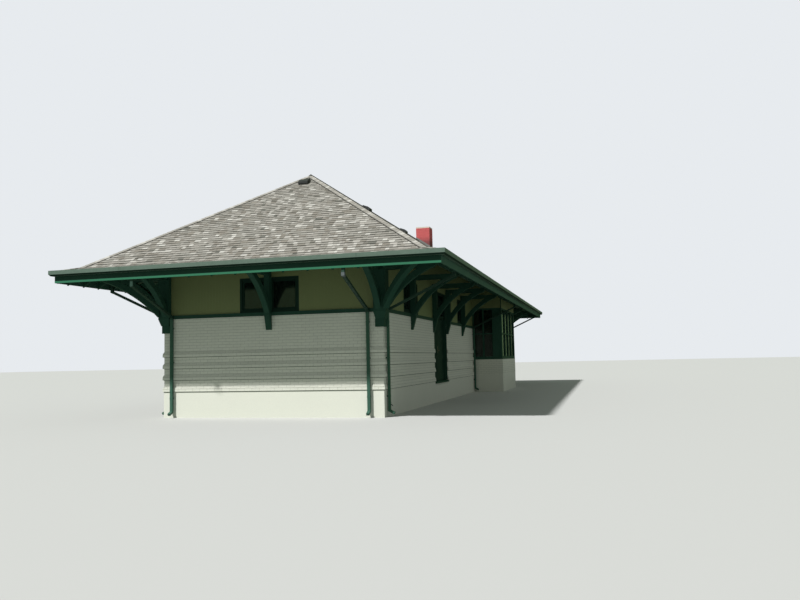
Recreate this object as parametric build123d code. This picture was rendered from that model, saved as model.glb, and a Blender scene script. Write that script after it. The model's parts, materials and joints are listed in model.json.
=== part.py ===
from build123d import *
import math
import os

# A small railway station: painted masonry walls, a timber frieze with high windows,
# and a hipped roof whose wide eaves rest on curved timber brackets.
# Lengths are in millimetres. X points to the tracks, Y runs along the building, Z is up.
# Each side is drawn with X outward from its wall face and Y along the wall, then turned into place.

# Body of the building, measured at the outer wall faces
body_width = 6100
body_length = 22675
wall_thickness = 300
frieze_thickness = 200

# Heights above the ground
floor_top = 685
floor_thickness = 120
belt_bottom = 2620
belt_height = 90
belt_projection = 35
window_head = 3620

# Projecting courses of the lower wall
course = 76.25
lip_count = 4
lip_spacing = 4 * course
lip_projection = 32
foundation_projection = 12

# Roof. Eave height is that of the main slopes' plane over the outer edge of the gutters.
ridge_height = 7000
eave_height = 3570
roof_thickness = 45
overhang = 1925
flare_start = 1500
flare_pitch = 0.27
rafter_depth = 130
rafter_width = 50
rafter_spacing = 610
fascia_thickness = 30
fascia_below = 52
gutter_width = 110
gutter_above = 120
gutter_height = 138
gutter_sheet = 6
gutter_lip = 18

# Distances along the building from the near end wall, as shares of its length
near_window_at = 0.1297 * body_length
door_at = 0.3047 * body_length
middle_window_at = 0.4798 * body_length
bay_start = 0.591 * body_length
bay_end = 0.7876 * body_length
far_window_at = 0.8939 * body_length
chimney_at = 0.7321 * body_length

# Brackets
timber = 150
brace_depth = 145
pendant_tip = 2250
pendant_tip_depth = 45
pendant_depth = 150
outrigger_height = 140
outrigger_reach = 1395
brace_foot = 2680
brace_reach = 1270
brace_radius = 2400
purlin_offset = 1260
purlin_width = 100
purlin_height = 50

# Corner posts and the corbels under them, by their reach inside and outside the wall corner
post_inside = 200
post_outside = 120
post_foot_inside = 165
post_foot_outside = 65
post_bottom = 2440
corbel_height = 200
corbel_inside = 180
corbel_outside = 50

# High windows
window_width = 1660
window_bar = 70
window_mullion = 130
sash_bar = 45
frame_depth = 110
sash_recess = 30
sash_depth = 40
glass_thickness = 6

# Doors
door_opening = 2020
door_head = 2750
jamb_width = 60
jamb_recess = 60
transom_bar = 100
leaf_thickness = 45
leaf_recess = 120
leaf_edge_gap = 6
leaf_meeting_gap = 8
leaf_end_gap = 8
stile = 115
kick_rail = 220
panel_recess = 12
knuckle_radius = 9
knuckle_length = 60
knuckle_gap = 0.3
hinge_offset = 10
strap_length = 60
strap_thickness = 5
hinge_inset = 280
sill_nose = 60
sill_thickness = 70
sill_slope = 25

# Operator's bay
bay_depth = 1215
bay_wall = 200
bay_post = 120
bay_corner = 320
bay_sill = 1330
bay_head = 3450
bay_bar = 70
bay_rail = 120
bay_front_count = 4
bay_side_count = 2

# Chimney, vents and rainwater pipes
chimney_side = 580
chimney_offset = 350
chimney_rise = 560
chimney_band = 25
chimney_band_height = 150
flue_side = 260
flue_depth = 400
vent_side = 290
vent_height = 110
vent_flange = 15
vent_flange_thickness = 6
vent_down_slope = 745
vent_shares = (0.2756, 0.4917)
end_vent_down_slope = 500
cap_width = 140
cap_thickness = 12
ridge_cap_width = 160
ridge_cap_thickness = 35
pipe_width = 75
pipe_depth = 60
pipe_gap = 5
pipe_bend_height = 2665
pipe_drop = 300
shoe_height = 160
shoe_reach = 130
shoe_drop = 70
pipe_joint = 60
corner_pipe_inset = 240
bay_pipe_inset = 75
track_end_pipe_inset = 367
street_end_pipe_inset = 255

# Values worked out from the sizes above
half_width = body_width / 2
half_length = body_length / 2
ridge_half = half_length - half_width
frieze_bottom = belt_bottom + belt_height
chimney_top = ridge_height + chimney_rise
rafter_end = overhang - fascia_thickness
eave_reach = overhang + gutter_width
roof_pitch = (ridge_height - eave_height) / (half_width + eave_reach)
rafter_drop = roof_thickness + rafter_depth
fascia_bottom = eave_height - fascia_below
gutter_bottom = eave_height + gutter_above
gutter_top = gutter_bottom + gutter_height
purlin_top = ridge_height - roof_pitch * (half_width + purlin_offset + purlin_width) - rafter_drop
outrigger_top = purlin_top - purlin_height
outrigger_bottom = outrigger_top - outrigger_height
leaf_inner = -leaf_recess - leaf_thickness
hinge_x = leaf_inner - hinge_offset
root2 = math.sqrt(2)
side_turn = {"track": 0, "far_end": 90, "street": 180, "near_end": 270}
corner_signs = [(1, -1), (1, 1), (-1, 1), (-1, -1)]


def face_distance(side):
    """Distance from the centre of the building to a wall face."""
    return half_width if side in ("track", "street") else half_length


def run_half(side):
    """Half the length of the wall on that side."""
    return half_length if side in ("track", "street") else half_width


def place(shape, side):
    """Turns a shape drawn on the reference side to its own side of the building."""
    angle = side_turn[side]
    turn = math.radians(angle)
    distance = face_distance(side)
    return Location((distance * math.cos(turn), distance * math.sin(turn), 0), (0, 0, angle)) * shape


def along(side, distance):
    """Turns a distance from the near end wall into a place along that side."""
    from_centre = distance - half_length
    return from_centre if side == "track" else -from_centre


def block(x0, x1, y0, y1, z0, z1):
    """A box between two corners."""
    return Pos((x0 + x1) / 2, (y0 + y1) / 2, (z0 + z1) / 2) * Box(x1 - x0, y1 - y0, z1 - z0)


def run(points, y0, y1):
    """A closed outline of points, outward and up, extruded along the wall."""
    face = Plane.XZ * make_face(Polyline(*points, close=True))
    return Pos(0, y1, 0) * extrude(face, amount=y1 - y0)


def slope_at(outward, drop=0):
    """Height of the plane of a main slope, less a drop, over a point outward from a wall face."""
    return ridge_height - roof_pitch * (half_width + outward) - drop


def roof_at(outward, drop=0):
    """Height of the roof's top surface, less a drop, which flattens where the eave flares."""
    flared = max(0, outward - flare_start)
    return slope_at(outward, drop) + (roof_pitch - flare_pitch) * flared


def side_wedge(side, shift=0):
    """The part of the plan that belongs to one side, bounded by the hip lines."""
    reach = half_width + eave_reach + 500
    corner = ridge_half + reach
    if side in ("track", "street"):
        plan = [(shift, -ridge_half), (reach + shift, -corner), (reach + shift, corner), (shift, ridge_half)]
    else:
        plan = [(ridge_half + shift, 0), (corner + shift, -reach), (corner + shift, reach)]
    wedge = extrude(make_face(Polyline(*plan, close=True)), amount=ridge_height + 1000)
    return Rot(0, 0, side_turn[side]) * wedge


def mitred(points, side):
    """A wall or moulding of one outline, cut at the hip lines so that it meets its neighbours."""
    reach = run_half(side) + eave_reach + 100
    return place(run(points, -reach, reach), side) & side_wedge(side)


def hip_section(half, drop):
    """Half of the outline under a hipped surface, from the ground at the eave up to the ridge."""
    return [(half + overhang, 0), (half + overhang, roof_at(overhang, drop)),
            (half + flare_start, roof_at(flare_start, drop)), (half - half_width, ridge_height - drop)]


def hip_volume(drop):
    """Everything under a hipped surface that lies a drop below the roof's top."""
    across = hip_section(half_width, drop)
    down = hip_section(half_length, drop)
    across += [(-x, z) for x, z in reversed(across[:-1])]
    down += [(-x, z) for x, z in reversed(down)]
    first = extrude(Plane.XZ * make_face(Polyline(*across, close=True)), amount=half_length + overhang, both=True)
    second = extrude(Plane.YZ * make_face(Polyline(*down, close=True)), amount=half_width + overhang, both=True)
    return first & second


# Openings along each side


def door_span(side):
    middle = along(side, door_at)
    return middle - door_opening / 2, middle + door_opening / 2


def bay_span():
    return along("track", bay_start), along("track", bay_end)


def bay_room_span():
    """The gap in the track wall that opens into the bay."""
    start, end = bay_span()
    return start + bay_wall, end - bay_wall


def window_places(side):
    if side in ("near_end", "far_end"):
        return [0]
    spots = [near_window_at, middle_window_at, far_window_at]
    if side == "street":
        spots.append((bay_start + bay_end) / 2)
    return [along(side, spot) for spot in spots]


def bracket_places(side):
    """Places along a side where a bracket springs from a wall post."""
    jamb = (door_opening + timber) / 2
    if side in ("near_end", "far_end"):
        return [0]
    door_posts = [along(side, door_at - jamb), along(side, door_at + jamb)]
    return window_places(side) + door_posts


# Masonry walls


def wall_outline():
    """Section of the wall: every fourth course stands out, and its top is weathered back."""
    points = [(-wall_thickness, 0), (foundation_projection, 0), (foundation_projection, floor_top)]
    for i in range(lip_count):
        base = floor_top + i * lip_spacing
        if i:
            points.append((0, base))
        points.append((lip_projection, base))
        points.append((lip_projection, base + course))
        points.append((0, base + 2 * course))
    points.append((0, belt_bottom))
    points.append((-wall_thickness, belt_bottom))
    return points


def cut_span(solid, side, y0, y1, depth=-wall_thickness - 50):
    """Cuts a full-height gap between two places along a wall."""
    return solid - place(block(depth, lip_projection + 50, y0, y1, -50, ridge_height), side)


def split_run(side, solid, cuts):
    """Pieces of a wall between gaps, in order along the side."""
    for y0, y1 in cuts:
        solid = cut_span(solid, side, y0, y1)
    pieces = list(solid.solids())
    return sorted(pieces, key=lambda piece: piece.center().Y)


def make_walls():
    near = mitred(wall_outline(), "near_end")
    far = mitred(wall_outline(), "far_end")
    start, end = bay_span()
    track = cut_span(mitred(wall_outline(), "track"), "track", start, end, 0)
    track = split_run("track", track, [door_span("track"), bay_room_span()])
    street = split_run("street", mitred(wall_outline(), "street"), [door_span("street")])
    return near, far, track, street


def make_door_bases():
    """The foundation that carries on under each door."""
    pieces = []
    for side in ("track", "street"):
        y0, y1 = door_span(side)
        top = floor_top - sill_thickness
        pieces.append(place(block(-wall_thickness, foundation_projection, y0, y1, 0, top), side))
    return pieces


def make_floor():
    inner_x = half_width - wall_thickness
    inner_y = half_length - wall_thickness
    return block(-inner_x, inner_x, -inner_y, inner_y, floor_top - floor_thickness, floor_top)


# Timber frieze above the masonry


def frieze_outline(bottom):
    inner = -frieze_thickness
    return [(inner, bottom), (0, bottom), (0, slope_at(0, roof_thickness)), (inner, slope_at(inner, roof_thickness))]


def frieze(side):
    """The framed wall above the belt course, with its windows cut through."""
    end = run_half(side) - post_inside
    solid = run(frieze_outline(frieze_bottom), -end, end)
    half = window_width / 2
    for middle in window_places(side):
        solid -= block(-frieze_thickness - 50, 50, middle - half, middle + half, frieze_bottom - 50, window_head)
    return place(solid, side)


def make_friezes():
    near = frieze("near_end")
    far = frieze("far_end")
    track = split_run("track", frieze("track"), [door_span("track"), bay_room_span()])
    street = split_run("street", frieze("street"), [door_span("street")])
    return near, far, track, street


def header(side, span, bottom):
    """The framed wall over a door or over the gap to the bay."""
    return place(run(frieze_outline(bottom), span[0], span[1]), side)


def belt_pieces(side, gaps):
    """Lengths of the timber plate on the masonry, which stands out as a belt course."""
    end = run_half(side) - post_inside
    edges = [-end] + [edge for gap in sorted(gaps) for edge in gap] + [end]
    pieces = []
    for y0, y1 in zip(edges[::2], edges[1::2]):
        piece = block(-frieze_thickness, belt_projection, y0, y1, belt_bottom, frieze_bottom)
        pieces.append(place(piece, side))
    return pieces


def make_belt():
    pieces = belt_pieces("near_end", []) + belt_pieces("far_end", [])
    start, end = bay_span()
    for piece in belt_pieces("track", [door_span("track"), bay_room_span()]):
        pieces.append(cut_span(piece, "track", start, end, 0))
    return pieces + belt_pieces("street", [door_span("street")])


# Corner posts


def corner_square(signs, inside, outside, z):
    """A level square round a wall corner."""
    x_sign, y_sign = signs
    size = inside + outside
    shift = (outside - inside) / 2
    return Pos(x_sign * (half_width + shift), y_sign * (half_length + shift), z) * Rectangle(size, size)


def corner_block(signs, inside, outside, z0, z1):
    """A square block round a wall corner."""
    return extrude(corner_square(signs, inside, outside, z0), amount=z1 - z0)


def masonry_core():
    """The volume inside the outer wall faces, up to the belt course."""
    return block(-half_width, half_width, -half_length, half_length, 0, belt_bottom)


def corner_post(signs):
    """A square post over the belt course, whose foot tapers down to its corbel."""
    shaft = corner_block(signs, post_inside, post_outside, belt_bottom, ridge_height)
    foot = loft([corner_square(signs, post_foot_inside, post_foot_outside, post_bottom),
                 corner_square(signs, post_inside, post_outside, belt_bottom)], ruled=True)
    return shaft + foot


def make_corner_posts():
    under = hip_volume(roof_thickness)
    core = masonry_core()
    return [(corner_post(signs) - core) & under for signs in corner_signs]


def make_corbels():
    core = masonry_core()
    low = post_bottom - corbel_height
    return [corner_block(c, corbel_inside, corbel_outside, low, post_bottom) - core for c in corner_signs]


# Brackets


def pendant(middle):
    """The wall post of a bracket, tapering to a blunt point below the belt course."""
    outline = [(0, pendant_tip), (pendant_tip_depth, pendant_tip), (pendant_depth, belt_bottom),
               (pendant_depth, outrigger_bottom), (0, outrigger_bottom)]
    post = run(outline, middle - timber / 2, middle + timber / 2)
    return post - block(-1, belt_projection, middle - timber, middle + timber, belt_bottom, frieze_bottom)


def brace(foot, reach, radius):
    """A curved timber brace in the plane Y = 0, springing outward along X."""
    low = Vector(foot, brace_foot)
    high = Vector(reach, outrigger_bottom)
    chord = high - low
    sideways = Vector(chord.Y, -chord.X).normalized()
    centre = (low + high) * 0.5 + sideways * math.sqrt(radius ** 2 - (chord.length / 2) ** 2)
    ring = Pos(centre.X, centre.Y) * (Circle(radius + brace_depth) - Circle(radius))
    height = outrigger_bottom - pendant_tip
    frame = Pos((foot + reach) / 2, outrigger_bottom - height / 2) * Rectangle(reach - foot, height)
    return extrude(Plane.XZ * (ring & frame), amount=timber / 2, both=True)


def outrigger(start, reach):
    """A beam over a brace, with the underside of its outer end cut to a slope."""
    nose = outrigger_height * 0.6
    outline = [(start, outrigger_bottom), (reach - nose, outrigger_bottom), (reach, outrigger_bottom + nose),
               (reach, outrigger_top), (start, outrigger_top)]
    return run(outline, -timber / 2, timber / 2)


def diagonal(shape, signs):
    """Turns a shape drawn along X to run out from a wall corner at 45 degrees."""
    x_sign, y_sign = signs
    angle = math.degrees(math.atan2(y_sign, x_sign))
    return Location((x_sign * half_width, y_sign * half_length, 0), (0, 0, angle)) * shape


def bracket_set(wall_piece, corner_piece, hip_piece):
    """Copies of a bracket's piece at every wall post, corner post and hip."""
    pieces = []
    for side in side_turn:
        pieces += [place(Pos(0, spot, 0) * wall_piece, side) for spot in bracket_places(side)]
        end = run_half(side) - timber / 2
        pieces += [place(Pos(0, spot, 0) * corner_piece, side) for spot in (-end, end)]
    pieces += [diagonal(hip_piece, signs) for signs in corner_signs]
    return pieces


def make_pendants():
    return [place(pendant(spot), side) for side in side_turn for spot in bracket_places(side)]


def make_braces():
    hip = brace(post_outside * root2, brace_reach * root2, brace_radius * root2)
    wall_brace = brace(pendant_depth, brace_reach, brace_radius)
    return bracket_set(wall_brace, brace(post_outside, brace_reach, brace_radius), hip)


def make_outriggers():
    hip = outrigger(post_outside * root2, outrigger_reach * root2 - timber / 2)
    return bracket_set(outrigger(0, outrigger_reach), outrigger(post_outside, outrigger_reach), hip)


# Roof


def purlin(side):
    """The eave beam that lies on the outriggers and carries the rafter tails."""
    outer = purlin_offset + purlin_width
    return mitred([(purlin_offset, outrigger_top), (outer, outrigger_top), (outer, purlin_top),
                   (purlin_offset, slope_at(purlin_offset, rafter_drop))], side)


def rafter(start):
    """One rafter tail from a start outward to the back of the fascia."""
    outline = [(start, slope_at(start, rafter_drop)), (rafter_end, slope_at(rafter_end, rafter_drop)),
               (rafter_end, slope_at(rafter_end, roof_thickness)), (start, slope_at(start, roof_thickness))]
    return run(outline, -rafter_width / 2, rafter_width / 2)


def sprocket():
    """The wedge on the end of a rafter that lifts the flared foot of the roof."""
    outline = [(flare_start, slope_at(flare_start, roof_thickness)),
               (rafter_end, slope_at(rafter_end, roof_thickness)),
               (rafter_end, roof_at(rafter_end, roof_thickness))]
    return run(outline, -rafter_width / 2, rafter_width / 2)


def rafter_start(side, spot):
    """Where a rafter tail begins: at the wall, at a corner post or at the front of the bay."""
    start, end = bay_span()
    if side == "track" and start < spot < end:
        return bay_depth
    return post_outside if abs(spot) > run_half(side) - post_inside - rafter_width else 0


def at_rafters(make):
    """A piece at every rafter of every side, clear of the hip rafters."""
    pieces = []
    for side in side_turn:
        count = int((run_half(side) + rafter_end - 4 * rafter_width) // rafter_spacing)
        zone = side_wedge(side, rafter_width / root2)
        for i in range(-count, count + 1):
            spot = i * rafter_spacing
            pieces.append(place(Pos(0, spot, 0) * make(side, spot), side) & zone)
    return pieces


def make_rafters():
    return at_rafters(lambda side, spot: rafter(rafter_start(side, spot)))


def make_sprockets():
    corners = [diagonal(hip_sprocket(), signs) for signs in corner_signs]
    return at_rafters(lambda side, spot: sprocket()) + corners


def hip_drop(pitch):
    """Depth of the flat top of a hip rafter under the fold of the roof's surface."""
    return roof_thickness + pitch * rafter_width / 2 / root2


def hip_end():
    """Where a hip rafter ends, measured out along the hip from the wall corner."""
    return rafter_end * root2 - rafter_width / 2


def hip_rafter():
    """The rafter under a hip line, from the corner post to the corner of the fascia."""
    start = post_outside * root2
    end = hip_end()
    top = hip_drop(roof_pitch)
    outline = [(start, slope_at(start / root2, rafter_drop)), (end, slope_at(end / root2, rafter_drop)),
               (end, slope_at(end / root2, top)), (start, slope_at(start / root2, top))]
    return run(outline, -rafter_width / 2, rafter_width / 2)


def hip_sprocket():
    """The wedge on the end of a hip rafter."""
    start = flare_start * root2
    end = hip_end()
    low = hip_drop(roof_pitch)
    top = hip_drop(flare_pitch)
    outline = [(start, slope_at(flare_start, low)), (end, slope_at(end / root2, low)),
               (end, roof_at(end / root2, top)), (start, slope_at(flare_start, top))]
    return run(outline, -rafter_width / 2, rafter_width / 2)


def fascia(side):
    return mitred([(rafter_end, fascia_bottom), (overhang, fascia_bottom),
                   (overhang, roof_at(overhang, roof_thickness)),
                   (rafter_end, roof_at(rafter_end, roof_thickness))], side)


def gutter_outline():
    """Section of the eaves gutter: flat back and floor, bowed front and a turned-in lip."""
    back = overhang
    front = overhang + gutter_width
    sheet = gutter_sheet
    foot = overhang + gutter_width * 0.6
    shoulder = (gutter_bottom + gutter_top) / 2
    bow = gutter_width * 0.06
    outside = Polyline((back, roof_at(back)), (back, gutter_bottom), (foot, gutter_bottom))
    outside += SagittaArc((foot, gutter_bottom), (front, shoulder), bow)
    rim = Polyline((front, shoulder), (front, gutter_top), (front - gutter_lip, gutter_top),
                   (front - gutter_lip, gutter_top - sheet), (front - sheet, gutter_top - sheet),
                   (front - sheet, shoulder))
    inside = SagittaArc((front - sheet, shoulder), (foot, gutter_bottom + sheet), -bow)
    inside += Polyline((foot, gutter_bottom + sheet), (back + sheet, gutter_bottom + sheet),
                       (back + sheet, roof_at(back)), (back, roof_at(back)))
    return make_face(outside + rim + inside)


def gutter(side):
    reach = run_half(side) + eave_reach + 100
    solid = Pos(0, reach, 0) * extrude(Plane.XZ * gutter_outline(), amount=2 * reach)
    return place(solid, side) & side_wedge(side)


def roof_slope(side):
    """A main slope of the roof, from the ridge down to where the eave flares."""
    top = ridge_height
    return mitred([(-half_width, top - roof_thickness), (flare_start, slope_at(flare_start, roof_thickness)),
                   (flare_start, slope_at(flare_start)), (-half_width, top)], side)


def eave_flare(side):
    """The flatter foot of a slope, which lies on the sprockets."""
    return mitred([(flare_start, slope_at(flare_start, roof_thickness)),
                   (overhang, roof_at(overhang, roof_thickness)), (overhang, roof_at(overhang)),
                   (flare_start, slope_at(flare_start))], side)


def make_hip_caps():
    """The folded strips that cover the hips."""
    band = hip_volume(-cap_thickness) - hip_volume(0)
    pieces = []
    for x_sign, y_sign in corner_signs:
        start = ridge_cap_width * root2 * 1.5
        end = (half_width + overhang) * root2 - cap_width
        strip = block(start, end, -cap_width, cap_width, 100, ridge_height + 100)
        angle = math.degrees(math.atan2(y_sign, x_sign))
        pieces.append(band & (Location((0, y_sign * ridge_half, 0), (0, 0, angle)) * strip))
    return pieces


def chimney_shaft(side):
    spot = Pos(chimney_offset, chimney_at - half_length, chimney_top / 2)
    return spot * Box(side, side, chimney_top)


def make_ridge_cap():
    """The vented cap along the ridge, scribed round the chimney."""
    half = ridge_cap_width
    low = ridge_height - roof_pitch * half
    outline = [(-half, low), (0, ridge_height), (half, low), (half, low + ridge_cap_thickness),
               (0, ridge_height + ridge_cap_thickness), (-half, low + ridge_cap_thickness)]
    return run(outline, -ridge_half, ridge_half) - chimney_shaft(chimney_side)


def make_chimney():
    """The stack above the roof with a corbelled cap and an open flue."""
    band = chimney_side + 2 * chimney_band
    spot = Pos(chimney_offset, chimney_at - half_length, 0)
    stack = chimney_shaft(chimney_side) - hip_volume(0)
    stack += spot * Pos(0, 0, chimney_top - chimney_band_height) * Box(band, band, 75)
    return stack - spot * Pos(0, 0, chimney_top - flue_depth / 2) * Box(flue_side, flue_side, flue_depth)


def roof_vent():
    """A box vent with a sloping hood, drawn flat: X runs down the slope and Z stands off it."""
    half = vent_side / 2
    wide = half + vent_flange
    outline = [(-half, 0), (half, 0), (half, vent_height * 0.45), (half * 0.8, vent_height * 0.9),
               (half * 0.2, vent_height), (-half, vent_height * 0.6)]
    return run(outline, -half, half) + block(-wide, wide, -wide, wide, 0, vent_flange_thickness)


def on_roof(shape, side, from_ridge, spot):
    """Lays a flat shape on a roof slope at a level distance from the ridge."""
    tilt = math.degrees(math.atan(roof_pitch))
    outward = from_ridge - half_width
    return place(Location((outward, spot, slope_at(outward)), (0, tilt, 0)) * shape, side)


def make_roof_vents():
    pieces = [on_roof(roof_vent(), "near_end", end_vent_down_slope, 0)]
    for share in vent_shares:
        pieces.append(on_roof(roof_vent(), "track", vent_down_slope, along("track", share * body_length)))
    return pieces


# High windows


def sash_spans():
    half = window_width / 2
    return [(-half + window_bar, -window_mullion / 2), (window_mullion / 2, half - window_bar)]


def window_frame():
    """Two sashes in one frame, with the outer face of the frame at X = 0."""
    half = window_width / 2
    low = frieze_bottom + window_bar
    high = window_head - window_bar
    frame = block(-frame_depth, 0, -half, half, frieze_bottom, window_head)
    for y0, y1 in sash_spans():
        frame -= block(-frame_depth - 10, 10, y0, y1, low, high)
        sash = block(-sash_recess - sash_depth, -sash_recess, y0, y1, low, high)
        sash -= block(-frame_depth, 0, y0 + sash_bar, y1 - sash_bar, low + sash_bar, high - sash_bar)
        frame += sash
    return frame


def window_panes():
    middle = -sash_recess - sash_depth / 2
    half = glass_thickness / 2
    inset = window_bar + sash_bar
    return [block(middle - half, middle + half, y0 + sash_bar, y1 - sash_bar, frieze_bottom + inset,
                  window_head - inset) for y0, y1 in sash_spans()]


def at_windows(pieces):
    placed = []
    for side in side_turn:
        for spot in window_places(side):
            placed += [place(Pos(0, spot, 0) * piece, side) for piece in pieces]
    return placed


# Doors


def hinge_heights():
    return [floor_top + hinge_inset, door_head - hinge_inset]


def leaf_width():
    return (door_opening - 2 * jamb_width - 2 * leaf_edge_gap - leaf_meeting_gap) / 2


def knuckle(z0):
    """A hinge barrel on the axis of a leaf whose hinge edge lies at Y = 0."""
    middle = z0 + (knuckle_length - knuckle_gap) / 2
    return Pos(hinge_x, -leaf_edge_gap / 2, middle) * Cylinder(knuckle_radius, knuckle_length - knuckle_gap)


def leaf_rails():
    """Heights between the rails of a leaf, for its three panels."""
    low = floor_top + leaf_end_gap + kick_rail
    high = door_head - leaf_end_gap - stile
    step = (high - low + stile) / 3
    return [(low + i * step, low + (i + 1) * step - stile) for i in range(3)]


def door_leaf():
    """A panelled leaf that runs along +Y from its hinge edge, with its half of each hinge."""
    width = leaf_width()
    leaf = block(leaf_inner, -leaf_recess, 0, width, floor_top + leaf_end_gap, door_head - leaf_end_gap)
    for z0, z1 in leaf_rails():
        leaf -= block(-leaf_recess - panel_recess, 0, stile, width - stile, z0, z1)
        leaf -= block(leaf_inner - 10, leaf_inner + panel_recess, stile, width - stile, z0, z1)
    for z in hinge_heights():
        strap = block(leaf_inner - strap_thickness, leaf_inner, -leaf_edge_gap / 2, strap_length,
                      z + knuckle_gap, z + knuckle_length)
        leaf += knuckle(z + knuckle_gap) + strap
    return leaf


def door_jamb():
    """The jamb beside a leaf, with the frame's half of each hinge."""
    face = -leaf_edge_gap
    jamb = block(leaf_inner, -jamb_recess, face - jamb_width, face, floor_top, door_head)
    for z in hinge_heights():
        strap = block(leaf_inner - strap_thickness, leaf_inner, -strap_length, -leaf_edge_gap / 2,
                      z - knuckle_length + knuckle_gap, z)
        jamb += knuckle(z - knuckle_length + knuckle_gap) + strap
    return jamb


def in_doorway(shape, side):
    """A shape drawn from the hinge edge, placed at both jambs of a door."""
    start = door_span(side)[0] + jamb_width + leaf_edge_gap
    end = door_span(side)[1] - jamb_width - leaf_edge_gap
    flipped = mirror(shape, about=Plane.XZ)
    return [place(Pos(0, start, 0) * shape, side), place(Pos(0, end, 0) * flipped, side)]


def transom_lights(side):
    start, end = door_span(side)
    middle = (start + end) / 2
    return [(start + jamb_width, middle - window_bar / 2), (middle + window_bar / 2, end - jamb_width)]


def transom(side):
    """The frame over the leaves, with two panes between the transom bar and the head."""
    start, end = door_span(side)
    frame = block(leaf_inner, -jamb_recess, start, end, door_head, window_head)
    for y0, y1 in transom_lights(side):
        frame -= block(leaf_inner - 10, 0, y0, y1, door_head + transom_bar, window_head - window_bar)
    return place(frame, side)


def transom_panes(side):
    middle = (leaf_inner - jamb_recess) / 2
    half = glass_thickness / 2
    return [place(block(middle - half, middle + half, y0, y1, door_head + transom_bar, window_head - window_bar),
                  side) for y0, y1 in transom_lights(side)]


def door_sill(side):
    """A sill across the doorway, weathered outward beyond the leaves."""
    start, end = door_span(side)
    low = floor_top - sill_thickness
    outline = [(-wall_thickness, low), (sill_nose, low), (sill_nose, floor_top - sill_slope),
               (-jamb_recess, floor_top), (-wall_thickness, floor_top)]
    return place(run(outline, start, end), side)


# Operator's bay on the track side


def bay_corner_posts():
    """The posts at the front of the bay, which show wide on its sides."""
    start, end = bay_span()
    under = hip_volume(roof_thickness)
    inner = bay_depth - bay_corner
    posts = [block(inner, bay_depth, start, start + bay_post, bay_sill, ridge_height),
             block(inner, bay_depth, end - bay_post, end, bay_sill, ridge_height)]
    return [place(post, "track") & under for post in posts]


def bay_front_wall():
    start, end = bay_span()
    return place(block(bay_depth - bay_wall, bay_depth, start, end, 0, bay_sill), "track")


def bay_side_walls():
    start, end = bay_span()
    outer = bay_depth - bay_wall
    return [place(block(0, outer, start, start + bay_wall, 0, bay_sill), "track"),
            place(block(0, outer, end - bay_wall, end, 0, bay_sill), "track")]


def bay_lights(length, count):
    """Spans of the glass in a row of double-hung windows, lower and upper sash of each."""
    pitch = (length - bay_bar) / count
    meeting = (bay_sill + bay_head) / 2
    lights = []
    for i in range(count):
        y0 = bay_bar + i * pitch
        y1 = y0 + pitch - bay_bar
        lights.append((y0, y1, bay_sill + bay_rail, meeting - sash_bar / 2))
        lights.append((y0, y1, meeting + sash_bar / 2, bay_head - bay_bar))
    return lights


def bay_windows(length, count):
    """A row of double-hung windows along +Y, with its outer face at X = 0."""
    frame = block(-frame_depth, 0, 0, length, bay_sill, bay_head)
    for y0, y1, z0, z1 in bay_lights(length, count):
        frame -= block(-frame_depth - 10, 10, y0, y1, z0, z1)
    return [frame]


def bay_glass(length, count):
    middle = -frame_depth / 2
    half = glass_thickness / 2
    return [block(middle - half, middle + half, y0, y1, z0, z1) for y0, y1, z0, z1 in bay_lights(length, count)]


def bay_front(make):
    """Pieces between the two posts at the front of the bay."""
    start, end = bay_span()
    length = end - start - 2 * bay_post
    spot = Pos(bay_depth, start + bay_post, 0)
    return [place(spot * piece, "track") for piece in make(length, bay_front_count)]


def bay_sides(make):
    """Pieces between the wall and the posts at both sides of the bay."""
    start, end = bay_span()
    length = bay_depth - bay_corner
    placed = []
    for piece in make(length, bay_side_count):
        near = Location((length, start, 0), (0, 0, 90)) * mirror(piece, about=Plane.YZ)
        placed.append(place(near, "track"))
        placed.append(place(Location((length, end, 0), (0, 0, 90)) * piece, "track"))
    return placed


def bay_panels():
    """Plain panels between the bay's window heads and the roof."""
    start, end = bay_span()
    under = hip_volume(roof_thickness)
    inner = bay_depth - frame_depth
    front = block(inner, bay_depth, start + bay_post, end - bay_post, bay_head, ridge_height)
    sides = [block(0, bay_depth - bay_corner, start, start + frame_depth, bay_head, ridge_height),
             block(0, bay_depth - bay_corner, end - frame_depth, end, bay_head, ridge_height)]
    return [place(panel, "track") & under for panel in [front] + sides]


def bay_floor():
    start, end = bay_span()
    inner = bay_depth - bay_wall
    low = floor_top - floor_thickness
    return place(block(-wall_thickness, inner, start + bay_wall, end - bay_wall, low, floor_top), "track")


# Rainwater pipes


def pipe_route():
    outlet = overhang + gutter_width / 2
    wall_line = belt_projection + pipe_gap + pipe_depth / 2
    return [(outlet, gutter_bottom), (outlet, gutter_bottom - pipe_drop), (wall_line, pipe_bend_height),
            (wall_line, shoe_height), (wall_line + shoe_reach, shoe_height - shoe_drop)]


def whole_pipe():
    """A pipe from the gutter back under the eave, down the wall and out at a shoe."""
    points = pipe_route()
    route = Plane.XZ * Polyline(*points)
    start = Plane(origin=(points[0][0], 0, points[0][1]), x_dir=(1, 0, 0), z_dir=(0, 0, -1))
    section = start * Rectangle(pipe_depth, pipe_width)
    return sweep(section, path=route, transition=Transition.RIGHT)


def pipe_spots():
    """The side of each pipe and its place along that side."""
    track_end = half_width - track_end_pipe_inset
    street_end = half_width - street_end_pipe_inset
    spots = [("near_end", track_end), ("near_end", -street_end), ("far_end", -track_end), ("far_end", street_end)]
    for side in ("track", "street"):
        spots += [(side, along(side, corner_pipe_inset)), (side, along(side, bay_start - bay_pipe_inset))]
    return spots


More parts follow.
